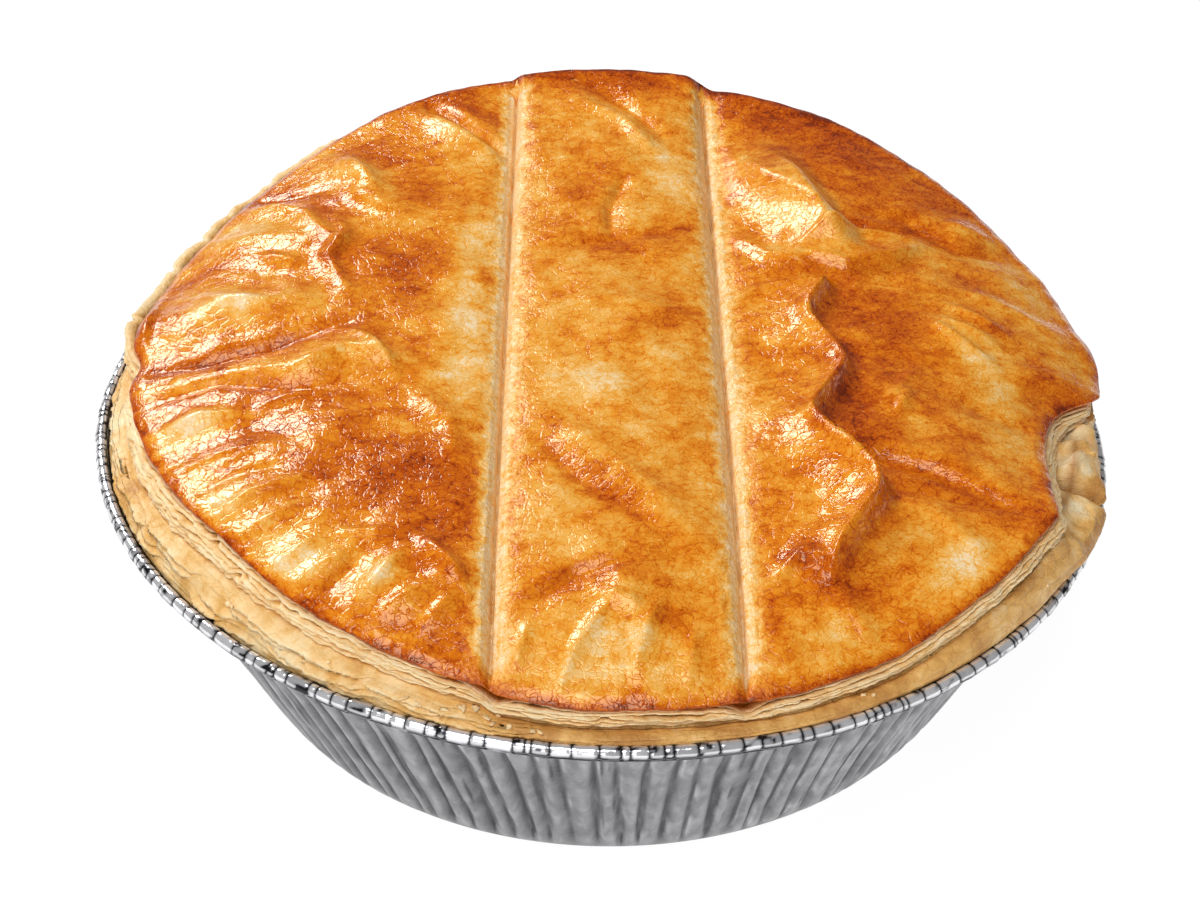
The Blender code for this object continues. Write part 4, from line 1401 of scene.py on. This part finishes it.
# Egg glaze on pastry, from the palest cream to the darkest brown
GLAZE_STOPS = (
    (0.0, shade(252, 226, 184)),
    (0.1, shade(250, 210, 146)),
    (0.2, shade(249, 192, 104)),
    (0.32, shade(245, 172, 62)),
    (0.48, shade(236, 142, 28)),
    (0.62, shade(218, 113, 10)),
    (0.78, shade(192, 80, 3)),
    (0.9, shade(156, 55, 2)),
    (1.0, shade(120, 38, 2)),
)
GLAZE_TINT = (1.0, 0.88, 0.62, 1.0)
glaze = Finish("egg_glazed_pastry", {"Specular IOR Level": 0.6, "Specular Tint": GLAZE_TINT})
brown = glaze.carried("brown")
gloss = glaze.carried("gloss")
blotches = glaze.mottle(4.0, 1.5, 1.0, (0.7, 1.3, 1.0))
speckle = (glaze.mottle(1.1, 0.5, 0.8) - 0.5) * 0.25 + (blotches - 0.5) * 0.7
wrinkles = (abs(glaze.mottle(1.3, 0.5, 1.5) - 0.5) * 18.0).held()
plates = (glaze.crackle(1.4) * 10.0).held()
# Thin pale lines, painted glints
veins = (abs(glaze.mottle(1.1, 0.0, 2.5) - 0.5) * 14.0).held()
tint = brown + speckle * (brown * 0.7 + 0.3) + (1.0 - wrinkles) * 0.17 + (1.0 - plates) * 0.1
tint = tint - (1.0 - veins) * 0.13
glaze_colour = glaze.ramp(tint.held(), GLAZE_STOPS)
relief = wrinkles * 0.013 + plates * 0.02 + glaze.mottle(1.3, 0.0, 0.5) * 0.05
relief = relief + glaze.mottle(4.0, 0.0) * 0.22
relief = relief + glaze.mottle(0.6, 3.0) * (1.0 - gloss) * 0.22
glaze_rough = 0.36 - gloss * 0.26 + (glaze.mottle(2.0, 2.0) - 0.5) * 0.05
skin.data.materials.append(
    glaze.finish(Base_Color=glaze_colour, Roughness=glaze_rough, Normal=glaze.bump(relief, 1.0))
)
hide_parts("pastry_lid")
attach(skin, "root")

# ---------------------------------------------------------------------------------------------
# Crumbs. Small flakes of pastry that have come off the lid's layers lie on the base crust, most
# of them at the front left of the middle.
# ---------------------------------------------------------------------------------------------

# Bearing, spread and number of the crumbs in each stretch
CRUMB_PLACES = ((-12.0, 7.0, 12), (-38.0, 16.0, 6), (35.0, 15.0, 3), (-130.0, 60.0, 8))
CRUMB_SHAPE = (1.0, 0.7, 0.3)
CRUMB_LIFT = 0.1
crumb_rng = np.random.default_rng(17)


def crumbs():
    """Flat broken flakes, laid on the case's band just under the lid's layers."""
    shape = bmesh.new()
    bake, _, _ = [shape.verts.layers.float.new(key) for key in ("bake", "recess_shade", "toast")]
    for middle, spread, count in CRUMB_PLACES:
        bearing = middle + spread * crumb_rng.normal(size=count) * 0.6
        down = crumb_rng.uniform(0.06, 0.45, count)
        ring = BAND_START + np.rint(down * BAND_RINGS).astype(int)
        spots, _ = case_surface((bearing + 180.0) % 360.0 - 180.0, ring)
        for spot in spots:
            made = bmesh.ops.create_icosphere(shape, subdivisions=2, radius=0.5)["verts"]
            size = crumb_rng.uniform(0.45, 1.3, 3) * CRUMB_SHAPE * MM
            turn = Matrix.Rotation(crumb_rng.uniform(0.0, 6.28), 3, "Z")
            tilt = Matrix.Rotation(crumb_rng.uniform(-0.5, 0.5), 3, "X")
            for vert in made:
                broken = Vector(crumb_rng.uniform(-0.16, 0.16, 3))
                vert.co = turn @ tilt @ ((vert.co + broken) * Vector(size))
                vert.co += Vector(spot * MM) + Vector((0.0, 0.0, CRUMB_LIFT * MM))
                vert[bake] = 0.15
    bmesh.ops.recalc_face_normals(shape, faces=shape.faces)
    return finished("pastry_crumbs", shape)


flakes = crumbs()
flakes.data.materials.append(layers.data.materials[0])
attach(flakes, "root")

# ---------------------------------------------------------------------------------------------
# Floor and light. A plain white sheet under a soft key light from the upper left and back,
# a wide soft box overhead and a weak fill from the front.
# ---------------------------------------------------------------------------------------------

FLOOR_SIZE = 3.0
# Each lamp: its name, place, size and power
LIGHTS = (
    ("key", (-0.36, 0.5, 0.52), 0.27, 3.3),
    ("overhead", (-0.15, -0.4, 1.0), 0.6, 6.0),
    ("front", (-0.4, -1.2, 0.5), 0.9, 5.5),
)
WORLD_LEVEL = 0.14
AIM = Vector((0.0, 0.0, 0.03))

floor_shape = bmesh.new()
bmesh.ops.create_grid(floor_shape, x_segments=1, y_segments=1, size=FLOOR_SIZE / 2.0)
floor = finished("floor", floor_shape)
paper = {
    "Base Color": (0.12, 0.12, 0.12, 1.0),
    "Roughness": 0.9,
    "Specular IOR Level": 0.0,
    "Emission Color": (1.0, 1.0, 1.0, 1.0),
    "Emission Strength": 0.96,
}
floor.data.materials.append(Finish("white_sheet", paper).material)

for name, spot, size, power in LIGHTS:
    lamp = bpy.data.lights.new(name, "AREA")
    lamp.size = size
    lamp.energy = power
    light = bpy.data.objects.new(name, lamp)
    bpy.context.scene.collection.objects.link(light)
    light.location = spot
    light.rotation_euler = (AIM - light.location).to_track_quat("-Z", "Y").to_euler()

world = bpy.data.worlds.new("studio")
world.use_nodes = True
background = world.node_tree.nodes["Background"]
background.inputs["Color"].default_value = (1.0, 1.0, 1.0, 1.0)
background.inputs["Strength"].default_value = WORLD_LEVEL
bpy.context.scene.world = world
bpy.context.scene.view_settings.view_transform = "Standard"
